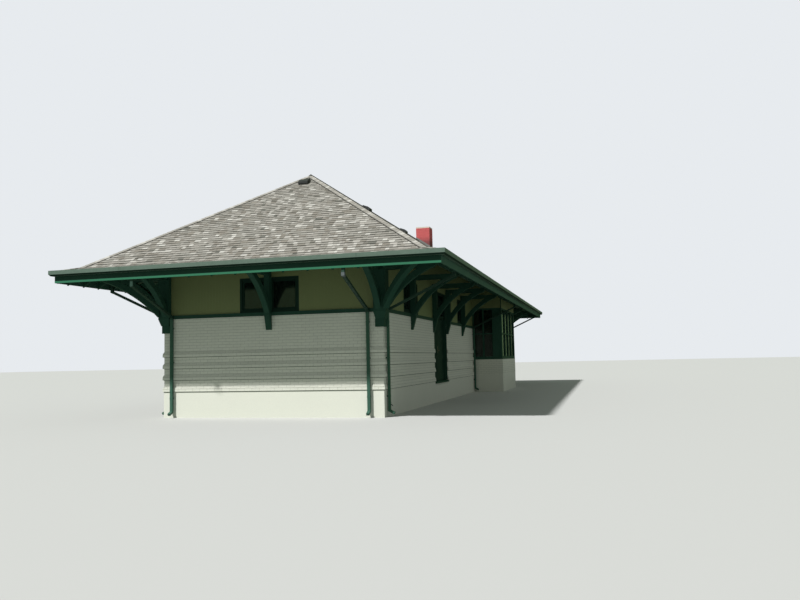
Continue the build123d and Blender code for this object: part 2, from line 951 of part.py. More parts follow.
def make_pipes():
    """The sloping leaders under the eave and the downspouts on the wall, which meet below the bend."""
    joint = pipe_bend_height - pipe_joint
    above = block(-1, eave_reach + 1, -pipe_width, pipe_width, joint, gutter_top)
    pipe = whole_pipe()
    leader = pipe & above
    lower = pipe - above
    leaders = [place(Pos(0, spot, 0) * leader, side) for side, spot in pipe_spots()]
    return leaders, [place(Pos(0, spot, 0) * lower, side) for side, spot in pipe_spots()]


# Names of the finished pieces


def collect_walls(nodes):
    near, far, track, street = make_walls()
    nodes["near_end_wall"] = [near]
    nodes["far_end_wall"] = [far]
    nodes["track_wall"] = track
    nodes["street_wall"] = street
    nodes["door_bases"] = make_door_bases()
    nodes["floor"] = [make_floor()]
    near, far, track, street = make_friezes()
    nodes["end_friezes"] = [near, far]
    nodes["track_frieze"] = track
    nodes["street_frieze"] = street
    headers = [header(side, door_span(side), window_head) for side in ("track", "street")]
    nodes["headers"] = headers + [header("track", bay_room_span(), bay_head)]
    nodes["belt_course"] = make_belt()


def collect_brackets(nodes):
    nodes["corner_posts"] = make_corner_posts()
    nodes["corner_corbels"] = make_corbels()
    nodes["wall_pendants"] = make_pendants()
    nodes["curved_braces"] = make_braces()
    nodes["outrigger_beams"] = make_outriggers()


def collect_roof(nodes):
    for name, make in (("eave_purlins", purlin), ("fascias", fascia), ("gutters", gutter)):
        nodes["side_" + name] = [make("track"), make("street")]
        nodes["end_" + name] = [make("near_end"), make("far_end")]
    nodes["side_eave_flares"] = [eave_flare("track"), eave_flare("street")]
    nodes["end_eave_flares"] = [eave_flare("near_end"), eave_flare("far_end")]
    for side in side_turn:
        nodes[side + "_roof_slope"] = [roof_slope(side)]
    nodes["rafter_tails"] = make_rafters()
    nodes["eave_sprockets"] = make_sprockets()
    nodes["hip_rafters"] = [diagonal(hip_rafter(), signs) for signs in corner_signs]
    nodes["hip_caps"] = make_hip_caps()
    nodes["ridge_cap"] = [make_ridge_cap()]
    nodes["chimney"] = [make_chimney()]
    nodes["roof_vents"] = make_roof_vents()
    nodes["gutter_leaders"], nodes["downspouts"] = make_pipes()


def collect_openings(nodes):
    nodes["window_frames"] = at_windows([window_frame()])
    nodes["window_glass"] = at_windows(window_panes()) + transom_panes("track") + transom_panes("street")
    nodes["door_jambs"] = in_doorway(door_jamb(), "track") + in_doorway(door_jamb(), "street")
    nodes["door_transoms"] = [transom("track"), transom("street")]
    nodes["door_sills"] = [door_sill("track"), door_sill("street")]
    near, far = in_doorway(door_leaf(), "track")
    nodes["near_door_leaf"] = [near]
    nodes["far_door_leaf"] = [far]
    nodes["street_door_leaves"] = in_doorway(door_leaf(), "street")


def collect_bay(nodes):
    nodes["bay_front_wall"] = [bay_front_wall()]
    nodes["bay_side_walls"] = bay_side_walls()
    nodes["bay_posts"] = bay_corner_posts()
    nodes["bay_windows"] = bay_front(bay_windows) + bay_sides(bay_windows)
    nodes["bay_glass"] = bay_front(bay_glass) + bay_sides(bay_glass)
    nodes["bay_panels"] = bay_panels()
    nodes["bay_floor"] = [bay_floor()]


def save(nodes):
    os.makedirs("parts", exist_ok=True)
    for name, pieces in nodes.items():
        solids = [solid for piece in pieces for solid in piece.solids()]
        shape = solids[0] if len(solids) == 1 else Compound(children=solids)
        export_step(shape, "parts/" + name + ".step")


nodes = {}
collect_walls(nodes)
collect_brackets(nodes)
collect_roof(nodes)
collect_openings(nodes)
collect_bay(nodes)
save(nodes)
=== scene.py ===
import json
import math
import random

import bpy
from mathutils import Matrix, Vector


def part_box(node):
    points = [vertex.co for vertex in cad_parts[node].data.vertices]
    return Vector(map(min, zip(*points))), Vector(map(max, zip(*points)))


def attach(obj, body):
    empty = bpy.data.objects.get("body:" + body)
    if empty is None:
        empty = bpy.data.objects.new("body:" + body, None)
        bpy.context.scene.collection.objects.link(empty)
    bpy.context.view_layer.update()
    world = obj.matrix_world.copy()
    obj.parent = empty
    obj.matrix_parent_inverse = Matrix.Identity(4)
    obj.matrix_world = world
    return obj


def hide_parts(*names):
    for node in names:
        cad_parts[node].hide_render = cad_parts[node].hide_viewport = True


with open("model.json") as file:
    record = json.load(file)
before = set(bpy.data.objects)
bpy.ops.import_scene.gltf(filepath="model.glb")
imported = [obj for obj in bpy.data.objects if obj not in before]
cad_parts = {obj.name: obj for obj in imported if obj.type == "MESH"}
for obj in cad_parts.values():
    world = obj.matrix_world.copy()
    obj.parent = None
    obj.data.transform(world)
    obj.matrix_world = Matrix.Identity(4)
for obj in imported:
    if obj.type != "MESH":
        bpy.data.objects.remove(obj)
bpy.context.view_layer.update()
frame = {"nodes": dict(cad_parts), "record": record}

# Body and roof, in metres; outward distances are taken from the wall faces
HALF_WIDTH = -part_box("street_frieze")[0].x
HALF_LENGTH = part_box("end_friezes")[1].y
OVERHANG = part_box("side_fascias")[1].x - HALF_WIDTH
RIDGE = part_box("track_roof_slope")[1].z
RIDGE_HALF = HALF_LENGTH - HALF_WIDTH
FLARE_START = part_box("track_roof_slope")[1].x - HALF_WIDTH
FLARE_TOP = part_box("side_eave_flares")[1].z
ROOF_THICKNESS = 0.045
ROOF_DEPTH = ROOF_THICKNESS * 1.25
EAVE_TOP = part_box("side_eave_flares")[0].z + ROOF_THICKNESS
PITCH = (RIDGE - FLARE_TOP) / (HALF_WIDTH + FLARE_START)
FLARE_PITCH = (FLARE_TOP - EAVE_TOP) / (OVERHANG - FLARE_START)
# Each part of a slope: its low and high edge outward from the wall, the height of the low edge and the pitch
FLARE = (OVERHANG, FLARE_START, EAVE_TOP, FLARE_PITCH)
MAIN = (FLARE_START, -HALF_WIDTH, FLARE_TOP, PITCH)
FLOOR_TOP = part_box("floor")[1].z
BELT_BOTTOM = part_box("belt_course")[0].z
BELT_REACH = 0.035
LIP = -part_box("near_end_wall")[0].y - HALF_LENGTH
FOUNDATION_REACH = 0.012
FASCIA_BOTTOM = 3.518
FASCIA_EDGE = 0.05
FRIEZE_BOARD = 0.09
DECK_BOARD = 0.077
# Clearance between faces that would touch
GAP = 0.0005
BODY = "building"
SIDES = {"track": 0, "far_end": 90, "street": 180, "near_end": 270}
LONG_SIDES = ("track", "street")

# Doors; the knob's rings say from where to where outward each runs, and its first and last radius
DOOR_SPAN = (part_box("door_sills")[0].y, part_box("door_sills")[1].y)
STREET_DOOR_SPAN = (-DOOR_SPAN[1], -DOOR_SPAN[0])
DOOR_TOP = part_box("door_transoms")[1].z
LEAF_RECESS = HALF_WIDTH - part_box("near_door_leaf")[1].x
LINING = 0.014
LINING_BACK, LINING_FRONT = -0.0595, -0.002
KNOB_INSET = 0.059
KNOB_HEIGHT = 1.0
PLATE_HALF, PLATE_DEPTH, PLATE_LOW, PLATE_HIGH = 0.024, 0.003, 0.92, 1.14
KNOB_RINGS = ((0.003, 0.028, 0.011, 0.009), (0.028, 0.036, 0.016, 0.027),
              (0.036, 0.052, 0.027, 0.024), (0.052, 0.06, 0.024, 0.01))

# Bay
BAY_SPAN = (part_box("bay_front_wall")[0].y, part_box("bay_front_wall")[1].y)
BAY_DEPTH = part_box("bay_front_wall")[1].x - HALF_WIDTH
BAY_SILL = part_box("bay_front_wall")[1].z
BAY_HEAD = 3.45
BAY_CORNER = 0.32
BAY_POST = 0.12
BAY_BOARD = 0.01
BOARD_CLEAR = 0.002
BOARD_LAP = 0.02
CORNER_STRIP = 0.03

# Gutters
GUTTER_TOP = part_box("side_gutters")[1].z
GUTTER_WIDTH = 0.11
GUTTER_HEIGHT = 0.138
GUTTER_MIDDLE = GUTTER_TOP - GUTTER_HEIGHT / 2
GUTTER_FRONT = OVERHANG + GUTTER_WIDTH
GUTTER_FACE = 0.101
GUTTER_FOOT = 0.6
GUTTER_BOW = 0.0066
GUTTER_LIP = 0.012
FRONT_FOOT = 0.018
FRONT_SHEET = 0.003
GUTTER_SEAM = 3.05
SKIN_STEPS = (0.04, 0.18, 0.32, 0.46, 0.58)
SKIN_NEAR, SKIN_FAR = 0.0008, 0.003
STRAP_SPACING = 0.75
STRAP_START = 0.25
STRAP_HALF = 0.012
STRAP_SHEET = 0.004
STRAP_INSET = 0.007

# Pipes
PIPE_GAP = 0.005
PIPE_DEPTH = 0.06
PIPE_WIDTH = 0.075
CORNER_PIPE = 0.24
BAY_PIPE = 0.075
TRACK_END_PIPE = 0.367
STREET_END_PIPE = 0.255
FAR_CORNER_PIPE = ("track", HALF_LENGTH - CORNER_PIPE)
BARE_PIPE = ("near_end", HALF_WIDTH - TRACK_END_PIPE)
PIPES = (BARE_PIPE, ("near_end", STREET_END_PIPE - HALF_WIDTH),
         ("far_end", TRACK_END_PIPE - HALF_WIDTH), ("far_end", HALF_WIDTH - STREET_END_PIPE),
         ("track", CORNER_PIPE - HALF_LENGTH), ("track", BAY_SPAN[0] - BAY_PIPE),
         ("street", HALF_LENGTH - CORNER_PIPE), ("street", BAY_PIPE - BAY_SPAN[0]), FAR_CORNER_PIPE)
WALL_LINE = BELT_REACH + PIPE_GAP + PIPE_DEPTH / 2
PIPE_BEND = 2.665
PIPE_JOINT = 2.605
PIPE_CLEAR = 0.001
SHOE_HEIGHT, SHOE_REACH, SHOE_DROP = 0.16, 0.13, 0.07
# Where the leaders' elbows are, outward and up, at the sides and at the ends
LEADER_ELBOW = ((1.8, 3.46), (1.86, 3.365))
LEADER_CLEAR = 0.002
SLEEVE_EXTRA = 0.006
SLEEVE_REACH = 0.055
SLEEVE_START, SLEEVE_END = 0.1, 0.06
PIPE_STRAPS = (0.5, 1.45, 2.35)
PIPE_STRAP_HEIGHT = 0.032
PIPE_STRAP_REACH = 0.003
COLLAR_LOW, COLLAR_REACH, COLLAR_BACK = 2.58, 0.004, 0.002

# Wall tap: each rod's start and end, both outward and up, then its radius and its sides
TAP_PLACE = 0.36
TAP_RODS = (((0.012, 0.3), (0.022, 0.3), 0.032, 16), ((0.022, 0.3), (0.09, 0.3), 0.013, 12),
            ((0.09, 0.298), (0.115, 0.262), 0.012, 12), ((0.065, 0.3), (0.065, 0.35), 0.006, 8),
            ((0.065, 0.35), (0.065, 0.36), 0.026, 12))

# Shingles; tones run from 0, dark, to 1, pale
EXPOSURE = 0.127
TAB_WIDTHS = (0.07, 0.2)
TAB_LOW_EDGE = 0.007
TAB_HIGH_EDGE = 0.003
TAB_EXTRA = 0.004
TAB_BASE = 0.0004
TAB_GAP = 0.003
TAB_LAP = 0.012
TAB_SMALLEST = 2e-4
RAISED_SHARE = 0.42
RAISED_TONE, FLAT_TONE, TAB_SPREAD = 0.46, 0.64, 0.23
TAB_SHADE = (0.7, 1.0)
SLOPE_LAP = 0.001
EAVE_DRIP = 0.018
CAP_LENGTH = 0.127
CAP_LAP = 1.12
CAP_HALF = 0.14
CAP_LIFT = 0.013
CAP_THICKNESS = 0.006
CAP_UNDER = 0.7
CAP_EDGE = 0.73
CAP_TONE, CAP_SPREAD = 0.72, 0.16
HIP_END = 0.1
RIDGE_LIFT = 0.001

# Bricks
COURSE = 0.07625
LIP_SPACING = 4
LIP_ROWS = 16
BRICK_LENGTH = 0.2133
SHORTEST_BRICK = 0.3
JOINT = 0.008
END_JOINT = 0.005
BRICK_PROUD = 0.005
BRICK_BACK = 0.001
BRICK_EDGE = 0.0015
JOINT_SHADE = 0.36
LEDGE_LINE = 0.011
LEDGE_LINE_DEPTH = 0.002

# Chimney
CHIMNEY_COURSE = 0.075
CHIMNEY_BAND = 0.025
BAND_BELOW_TOP = 0.1875
CHIMNEY_ROWS = 12
SOOT_LOW, SOOT_HIGH = 0.78, 0.45
MORTAR_DEPTH = 0.062
FLASHING_GAP = 0.002
FLASHING_RISE = 0.11
FLASHING_SHEET = 0.003
FLASHING_LIFT = 0.005
APRON_LIFT = 0.012
APRON_REACH = 0.1
APRON_LAP = 0.06
LINER_OUTER, LINER_INNER = 0.1285, 0.108
LINER_DEPTH, LINER_LENGTH = 0.3, 0.298


def run_half(side):
    """Half the length of a side's wall."""
    return HALF_LENGTH if side in LONG_SIDES else HALF_WIDTH


def wall_point(side, outward, along, height):
    """A point given outward from a wall face, along the wall and up."""
    turn = math.radians(SIDES[side])
    x = outward + (HALF_WIDTH if side in LONG_SIDES else HALF_LENGTH)
    return Vector((x * math.cos(turn) - along * math.sin(turn), x * math.sin(turn) + along * math.cos(turn), height))


class Builder:
    """Collects closed shapes into one mesh, with a tone for each shape and a rise for each point."""

    def __init__(self):
        self.points = []
        self.rises = []
        self.faces = []
        self.tones = []

    def solid(self, points, faces, tone=0.5, rises=None):
        start = len(self.points)
        self.points += [tuple(p) for p in points]
        self.rises += rises or [0.0] * len(points)
        self.faces += [tuple(start + i for i in face) for face in faces]
        self.tones += [tone] * len(faces)

    def prism(self, low, high, tone=0.5, rises=None):
        """A closed shape between two outlines with the same number of points."""
        count = len(low)
        faces = [tuple(range(count))[::-1], tuple(range(count, 2 * count))]
        for i in range(count):
            j = (i + 1) % count
            faces.append((i, j, count + j, count + i))
        self.solid(list(low) + list(high), faces, tone, rises and rises * 2)

    def rod(self, start, end, radius, sides=12, tone=0.5, end_radius=None):
        """A round bar between two points, or a cone if the end has a radius of its own."""
        axis = (end - start).normalized()
        first = axis.orthogonal().normalized()
        second = axis.cross(first)
        rings = []
        for centre, size in ((start, radius), (end, radius if end_radius is None else end_radius)):
            turns = [2 * math.pi * i / sides for i in range(sides)]
            rings.append([centre + (first * math.cos(t) + second * math.sin(t)) * size for t in turns])
        self.prism(rings[0], rings[1], tone)

    def box(self, side, k0, k1, y0, y1, z0, z1, tone=0.5):
        """A box square to a wall."""
        plan = ((k0, y0), (k1, y0), (k1, y1), (k0, y1))
        low = [wall_point(side, k, y, z0) for k, y in plan]
        self.prism(low, [p + Vector((0, 0, z1 - z0)) for p in low], tone)

    def finish(self, name, material, body=BODY):
        mesh = bpy.data.meshes.new(name)
        mesh.from_pydata(self.points, [], self.faces)
        tone = mesh.attributes.new("tone", "FLOAT", "FACE")
        tone.data.foreach_set("value", self.tones)
        rise = mesh.attributes.new("rise", "FLOAT", "POINT")
        rise.data.foreach_set("value", self.rises)
        mesh.materials.append(material)
        mesh.validate()
        piece = bpy.data.objects.new(name, mesh)
        bpy.context.scene.collection.objects.link(piece)
        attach(piece, body)
        return piece


# Materials


class Surface:
    """A node material with a few helpers, ending in one principled shader."""

    def __init__(self, name, roughness=0.6, **inputs):
        self.material = bpy.data.materials.new(name)
        self.material.use_nodes = True
        self.nodes = self.material.node_tree.nodes
        self.links = self.material.node_tree.links
        self.shader = self.nodes["Principled BSDF"]
        self.shader.inputs["Roughness"].default_value = roughness
        for key, value in inputs.items():
            self.shader.inputs[key.replace("_", " ")].default_value = value

    def add(self, kind, inputs=None, **props):
        node = self.nodes.new(kind)
        for key, value in props.items():
            setattr(node, key, value)
        for key, value in (inputs or {}).items():
            if isinstance(value, bpy.types.NodeSocket):
                self.links.new(value, node.inputs[key])
            else:
                node.inputs[key].default_value = value
        return node

    def math(self, operation, a, b=0.0):
        return self.add("ShaderNodeMath", {0: a, 1: b}, operation=operation).outputs[0]

    def position(self):
        return self.add("ShaderNodeTexCoord").outputs["Object"]

    def split(self, vector):
        return self.add("ShaderNodeSeparateXYZ", {"Vector": vector}).outputs

    def height(self):
        return self.split(self.position())["Z"]

    def along_wall(self):
        """A coordinate that runs level along any wall."""
        place = self.split(self.position())
        facing = self.split(self.add("ShaderNodeNewGeometry").outputs["True Normal"])
        ends = self.math("GREATER_THAN", self.math("ABSOLUTE", facing["Y"]), 0.5)
        return self.math("ADD", self.math("MULTIPLY", place["X"], ends),
                         self.math("MULTIPLY", place["Y"], self.math("SUBTRACT", 1.0, ends)))

    def attribute(self, name):
        return self.add("ShaderNodeAttribute", attribute_name=name).outputs["Fac"]

    def stretched(self, scale):
        return self.add("ShaderNodeMapping", {"Vector": self.position(), "Scale": scale}).outputs[0]

    def noise(self, scale, detail=4.0, vector=None, roughness=0.55):
        where = vector if vector is not None else self.position()
        inputs = {"Vector": where, "Scale": scale, "Detail": detail, "Roughness": roughness}
        return self.add("ShaderNodeTexNoise", inputs).outputs["Fac"]

    def ramp(self, factor, stops):
        node = self.add("ShaderNodeValToRGB", {"Fac": factor})
        ramp = node.color_ramp
        while len(ramp.elements) < len(stops):
            ramp.elements.new(0.5)
        for element, (place, colour) in zip(ramp.elements, stops):
            element.position = place
            element.color = (*colour, 1.0)
        return node.outputs["Color"]

    def mix(self, factor, a, b, mode="MIX"):
        node = self.add("ShaderNodeMix", data_type="RGBA", blend_type=mode)
        for socket, value in ((node.inputs["Factor"], factor), (node.inputs[6], a), (node.inputs[7], b)):
            if isinstance(value, bpy.types.NodeSocket):
                self.links.new(value, socket)
            else:
                socket.default_value = (*value, 1.0) if isinstance(value, tuple) else value
        return node.outputs[2]

    def level(self, factor, low, high, start=0.0, end=1.0):
        """Maps a factor between start and end to a value between low and high."""
        inputs = {"Value": factor, "From Min": start, "From Max": end, "To Min": low, "To Max": high}
        return self.add("ShaderNodeMapRange", inputs).outputs[0]

    def boards(self, along, board, joint):
        """A height that dips at the joints of boards; joint is the share of a board that slopes down to one."""
        wave = self.math("FRACT", self.math("DIVIDE", along, board))
        edge = self.math("MINIMUM", wave, self.math("SUBTRACT", 1.0, wave))
        return self.level(edge, 0.0, 1.0, 0.0, joint)

    def shade(self, base, value):
        """A colour made darker or paler by a grey value."""
        grey = self.add("ShaderNodeCombineColor", {"Red": value, "Green": value, "Blue": value}).outputs[0]
        return self.mix(1.0, base, grey, "MULTIPLY")

    def colour(self, value):
        self.links.new(value, self.shader.inputs["Base Color"])

    def rough(self, value):
        self.links.new(value, self.shader.inputs["Roughness"])

    def bump(self, height, distance, strength=1.0):
        inputs = {"Height": height, "Distance": distance, "Strength": strength}
        if self.shader.inputs["Normal"].is_linked:
            inputs["Normal"] = self.shader.inputs["Normal"].links[0].from_socket
        node = self.add("ShaderNodeBump", inputs)
        self.links.new(node.outputs["Normal"], self.shader.inputs["Normal"])


def srgb(r, g, b):
    """A colour given as it looks on a screen, from 0 to 255."""
    return tuple(((c / 255 + 0.055) / 1.055) ** 2.4 if c > 10 else c / 255 / 12.92 for c in (r, g, b))


def masonry_paint(name, colour, stain, dark=None, joints=False, soot=False):
    """Thick old paint on masonry, with faint stains.

    dark is the colour of the painted shade in the joints between the bricks of a wall, or of the soot at the foot of
    a chimney, whose mortar cap is pale.
    """
    surface = Surface(name, roughness=0.75, Specular_IOR_Level=0.15)
    base = surface.mix(surface.level(surface.noise(0.9, 5.0), 0.0, 0.3), colour, stain)
    # Painted shade in the joints: the wall face seen between the bricks is darkened from the floor to the belt.
    if joints:
        height = surface.height()
        brickwork = surface.math("MULTIPLY", surface.math("GREATER_THAN", height, FLOOR_TOP + JOINT / 2),
                                 surface.math("LESS_THAN", height, BELT_BOTTOM))
        base = surface.mix(surface.math("MULTIPLY", brickwork, JOINT_SHADE), base, dark)
    if soot:
        height = surface.height()
        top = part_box("chimney")[1].z
        low = surface.level(height, 0.8, 0.0, top - SOOT_LOW, top - SOOT_HIGH)
        patchy = surface.level(surface.noise(5.0, 4.0), 0.5, 1.2)
        base = surface.mix(surface.math("MULTIPLY", low, patchy), base, dark)
        base = surface.mix(surface.math("GREATER_THAN", height, top - MORTAR_DEPTH), base, MORTAR_CAP)
    grain = surface.level(surface.noise(28.0, 3.0), 0.95, 1.03)
    tint = surface.math("ADD", grain, surface.level(surface.attribute("tone"), 0.0, 0.035))
    surface.colour(surface.shade(base, tint))
    surface.bump(surface.noise(60.0, 4.0), 0.0012, 0.5)
    return surface.material


def painted_wood(name, colour, faded, roughness=0.6, painted_sunlit_edge=None):
    """Painted timber; the last argument is a height and a colour for a painted strip of sunlight on the board below
    that height.
    """
    surface = Surface(name, roughness=roughness, Specular_IOR_Level=0.12)
    patches = surface.noise(1.7, 6.0)
    streaks = surface.noise(9.0, 5.0, surface.stretched((1.0, 1.0, 0.25)))
    base = surface.mix(surface.level(surface.math("MULTIPLY", patches, streaks), 0.0, 1.4), colour, faded)
    if painted_sunlit_edge:
        base = surface.mix(surface.math("LESS_THAN", surface.height(), painted_sunlit_edge[0]), base, painted_sunlit_edge[1])
    surface.colour(base)
    surface.rough(surface.level(patches, roughness - 0.12, roughness + 0.18))
    surface.bump(surface.noise(45.0, 6.0, surface.stretched((1.0, 1.0, 0.3))), 0.0012, 0.7)
    return surface.material


def board_paint(name, colour, faded):
    """Painted boards whose joints run up the wall."""
    surface = Surface(name, roughness=0.55)
    surface.colour(surface.mix(surface.level(surface.noise(1.1, 6.0), 0.0, 0.6), colour, faded))
    surface.bump(surface.boards(surface.along_wall(), FRIEZE_BOARD, 0.05), 0.003, 0.8)
    surface.bump(surface.noise(50.0, 5.0), 0.0008, 0.5)
    return surface.material


def deck_boards(name, colour, faded):
    """Painted deck boards seen from under the eaves, level along each slope."""
    surface = Surface(name, roughness=0.6)
    surface.colour(surface.mix(surface.level(surface.noise(1.3, 6.0), 0.0, 0.7), colour, faded))
    surface.bump(surface.boards(surface.height(), DECK_BOARD, 0.06), 0.004, 0.8)
    surface.bump(surface.noise(40.0, 5.0), 0.001, 0.5)
    return surface.material


def shingle_paint(name):
    """Mineral granules with a tone for each tab; the dark upper part of each tab is part printed shadow band, part
    painted shade of the course above.
    """
    surface = Surface(name, roughness=0.93)
    base = surface.ramp(surface.attribute("tone"), [
        (0.0, srgb(112, 111, 103)), (0.25, srgb(145, 138, 127)), (0.5, srgb(156, 153, 144)),
        (0.75, srgb(167, 162, 153)), (1.0, srgb(208, 205, 196))])
    base = surface.mix(surface.level(surface.noise(0.35, 4.0), 0.0, 0.3), base, srgb(124, 122, 116))
    band = surface.level(surface.attribute("rise"), 1.0, 0.15, 0.5, 0.66)
    grains_and_shade = surface.math("MULTIPLY", surface.level(surface.noise(260.0, 2.0), 0.8, 1.16), band)
    surface.colour(surface.shade(base, grains_and_shade))
    surface.bump(surface.noise(320.0, 2.0), 0.0016, 0.8)
    return surface.material


def painted_metal(name, colour, faded, roughness=0.5, seam=0.0):
    """Painted sheet metal, with a thin lapped seam at even distances where one is given."""
    surface = Surface(name, roughness=roughness, Specular_IOR_Level=0.35)
    chalk = surface.noise(14.0, 6.0)
    blend = surface.math("MULTIPLY", surface.noise(1.4, 6.0), chalk)
    base = surface.mix(surface.level(blend, 0.0, 1.8), colour, faded)
    if seam:
        wave = surface.math("FRACT", surface.math("DIVIDE", surface.along_wall(), seam))
        line = surface.math("LESS_THAN", wave, 0.007 / seam)
        base = surface.mix(line, base, tuple(c * 0.45 for c in colour))
        surface.bump(surface.math("LESS_THAN", wave, 0.06 / seam), 0.002, 0.8)
    surface.colour(base)
    surface.rough(surface.level(chalk, roughness - 0.1, roughness + 0.2))
    surface.bump(surface.noise(6.0, 3.0), 0.002, 0.35)
    return surface.material


def concrete(name, colour, dark):
    """Concrete or fired clay, with darker patches."""
    surface = Surface(name, roughness=0.85)
    surface.colour(surface.mix(surface.level(surface.noise(2.0, 8.0), 0.0, 0.9), colour, dark))
    surface.bump(surface.noise(70.0, 6.0), 0.0015, 0.6)
    return surface.material


def window_glass(name):
    """Old glass with a green tint, a little dust and faint waves."""
    surface = Surface(name, roughness=0.05, Base_Color=(0.05, 0.085, 0.065, 1.0), Transmission_Weight=0.85, IOR=1.5)
    surface.rough(surface.level(surface.noise(3.0, 6.0), 0.03, 0.14))
    surface.bump(surface.noise(2.2, 2.0), 0.004, 0.12)
    return surface.material


MORTAR_CAP = srgb(222, 212, 198)
WALL_PAINT = (srgb(239, 239, 225), srgb(214, 216, 202))
WALL = masonry_paint("wall_paint_look", *WALL_PAINT)
WALL_BEHIND = masonry_paint("wall_joint_shade_look", *WALL_PAINT, srgb(92, 96, 86), joints=True)
CHIMNEY = masonry_paint("chimney_paint_look", srgb(214, 108, 108), srgb(184, 86, 84), srgb(84, 70, 72), soot=True)
# Painted shade for the thin strips under the lips and the bricks.
LEDGE_SHADE = masonry_paint("ledge_shade_look", srgb(96, 100, 90), srgb(72, 76, 68))
TRIM = painted_wood("trim_green_look", srgb(40, 74, 60), srgb(54, 90, 75))
DOOR = painted_wood("door_green_look", srgb(32, 58, 48), srgb(42, 72, 60), roughness=0.7)
# The fascias are lit and shaded copies of the trim green: the side fascias paler, the end fascias darker as in the
# gutter's shade, with a painted sunlit strip at their lower edge.
FASCIA = painted_wood("fascia_green_look", srgb(56, 92, 79), srgb(70, 104, 92))
END_FASCIA = painted_wood("end_fascia_look", srgb(34, 66, 53), srgb(46, 80, 66),
                          painted_sunlit_edge=(FASCIA_BOTTOM + FASCIA_EDGE, srgb(58, 122, 92)))
# A darker copy of the trim green as painted shade, for the window frames, the transoms and the gutters' undersides.
SASH = painted_wood("sash_green_look", srgb(27, 50, 40), srgb(36, 62, 51), roughness=0.7)
FRIEZE = board_paint("frieze_paint_look", srgb(134, 141, 92), srgb(120, 128, 84))
SOFFIT = deck_boards("soffit_paint_look", srgb(106, 123, 98), srgb(90, 105, 84))
SHINGLE = shingle_paint("shingle_look")
GUTTER = painted_metal("gutter_metal_look", srgb(88, 108, 95), srgb(110, 129, 117), seam=GUTTER_SEAM)
# Lit and shaded copies of the pipe green: the downspouts paler as in sunlight, the leaders under the eaves darker as
# in shade.
PIPE = painted_metal("pipe_metal_look", srgb(48, 90, 73), srgb(68, 106, 90))
LEADER = painted_metal("leader_metal_look", srgb(32, 60, 49), srgb(46, 76, 64))
VENT = painted_metal("vent_metal_look", srgb(40, 42, 44), srgb(60, 61, 62))
FLASHING = painted_metal("flashing_look", srgb(112, 112, 110), srgb(140, 140, 136))
BRASS = painted_metal("hardware_look", srgb(92, 84, 62), srgb(120, 110, 84), roughness=0.35)
BARE = painted_metal("bare_metal_look", srgb(104, 111, 113), srgb(86, 93, 95))
CLAY = concrete("flue_clay", srgb(150, 92, 66), srgb(110, 66, 50))
CONCRETE = concrete("concrete_look", srgb(150, 150, 142), srgb(112, 112, 106))
GLASS = window_glass("glass_look")

# The material for each slot, then for each node that differs from the rest of its slot
LOOKS = {"wall_paint": WALL, "concrete": CONCRETE, "frieze_paint": FRIEZE, "trim_green": TRIM, "door_green": DOOR,
         "shingle": SOFFIT, "gutter_metal": GUTTER, "vent_metal": VENT, "chimney_paint": CHIMNEY, "glass": GLASS}
SPECIAL = {"downspouts": PIPE, "gutter_leaders": PIPE, "hip_caps": SHINGLE, "ridge_cap": VENT,
           "window_frames": SASH, "door_transoms": SASH, "side_fascias": FASCIA, "end_fascias": END_FASCIA,
           "door_bases": WALL, "door_sills": TRIM}
# The wall faces behind the bricks carry the painted shade of the joints.
SPECIAL.update(dict.fromkeys(("near_end_wall", "far_end_wall", "track_wall", "street_wall", "bay_front_wall",
                              "bay_side_walls"), WALL_BEHIND))


def dress_nodes():
    """Gives every node of the solids its material."""
    slots = {part["node"]: part["material_slot"] for part in frame["record"]["subparts"]}
    for name, node in frame["nodes"].items():
        look = SPECIAL.get(name) or LOOKS[slots[name]]
        node.data.materials.clear()
        node.data.materials.append(look)


# Shingles


def slope_frame(side, part):
    """Origin at the middle of a part's low edge, then unit vectors along it, up the slope and out of it."""
    low, _, base, pitch = part
    origin = wall_point(side, low, 0, base)
    across = (wall_point(side, 0, 1, 0) - wall_point(side, 0, 0, 0)).normalized()
    inward = (wall_point(side, -1, 0, 0) - wall_point(side, 0, 0, 0)).normalized()
    up = (inward + Vector((0, 0, pitch))).normalized()
    normal = across.cross(up)
    return origin, across, up, normal if normal.z > 0 else -normal


def slope_length(part):
    low, high, _, pitch = part
    return (low - high) * math.sqrt(1 + pitch ** 2)


def slope_outline(side, part, drip):
    """The corners of one part of a slope, along its low edge and up the slope."""
    low = run_half(side) + part[0]
    high = run_half(side) + part[1] + SLOPE_LAP
    length = slope_length(part)
    return [(-low, -drip), (low, -drip), (low, 0), (high, length), (-high, length), (-low, 0)]


def clip(polygon, outline):
    """Cuts a convex polygon back to a convex outline that runs anticlockwise."""
    for (ax, ay), (bx, by) in zip(outline, outline[1:] + outline[:1]):
        if abs(ax - bx) + abs(ay - by) < 1e-9:
            continue
        kept = []
        sides = [(bx - ax) * (y - ay) - (by - ay) * (x - ax) for x, y in polygon]
        for i, (x, y) in enumerate(polygon):
            j = (i + 1) % len(polygon)
            if sides[i] >= 0:
                kept.append((x, y))
            if sides[i] * sides[j] < 0:
                t = sides[i] / (sides[i] - sides[j])
                kept.append((x + (polygon[j][0] - x) * t, y + (polygon[j][1] - y) * t))
        polygon = kept
        if len(polygon) < 3:
            return []
    return polygon


def area(polygon):
    return sum(x0 * y1 - x1 * y0 for (x0, y0), (x1, y1) in zip(polygon, polygon[1:] + polygon[:1])) / 2


def random_tone(rng, mean, spread):
    """A tone from 0 to 1, most often near the mean."""
    return min(1.0, max(0.0, rng.gauss(mean, spread)))


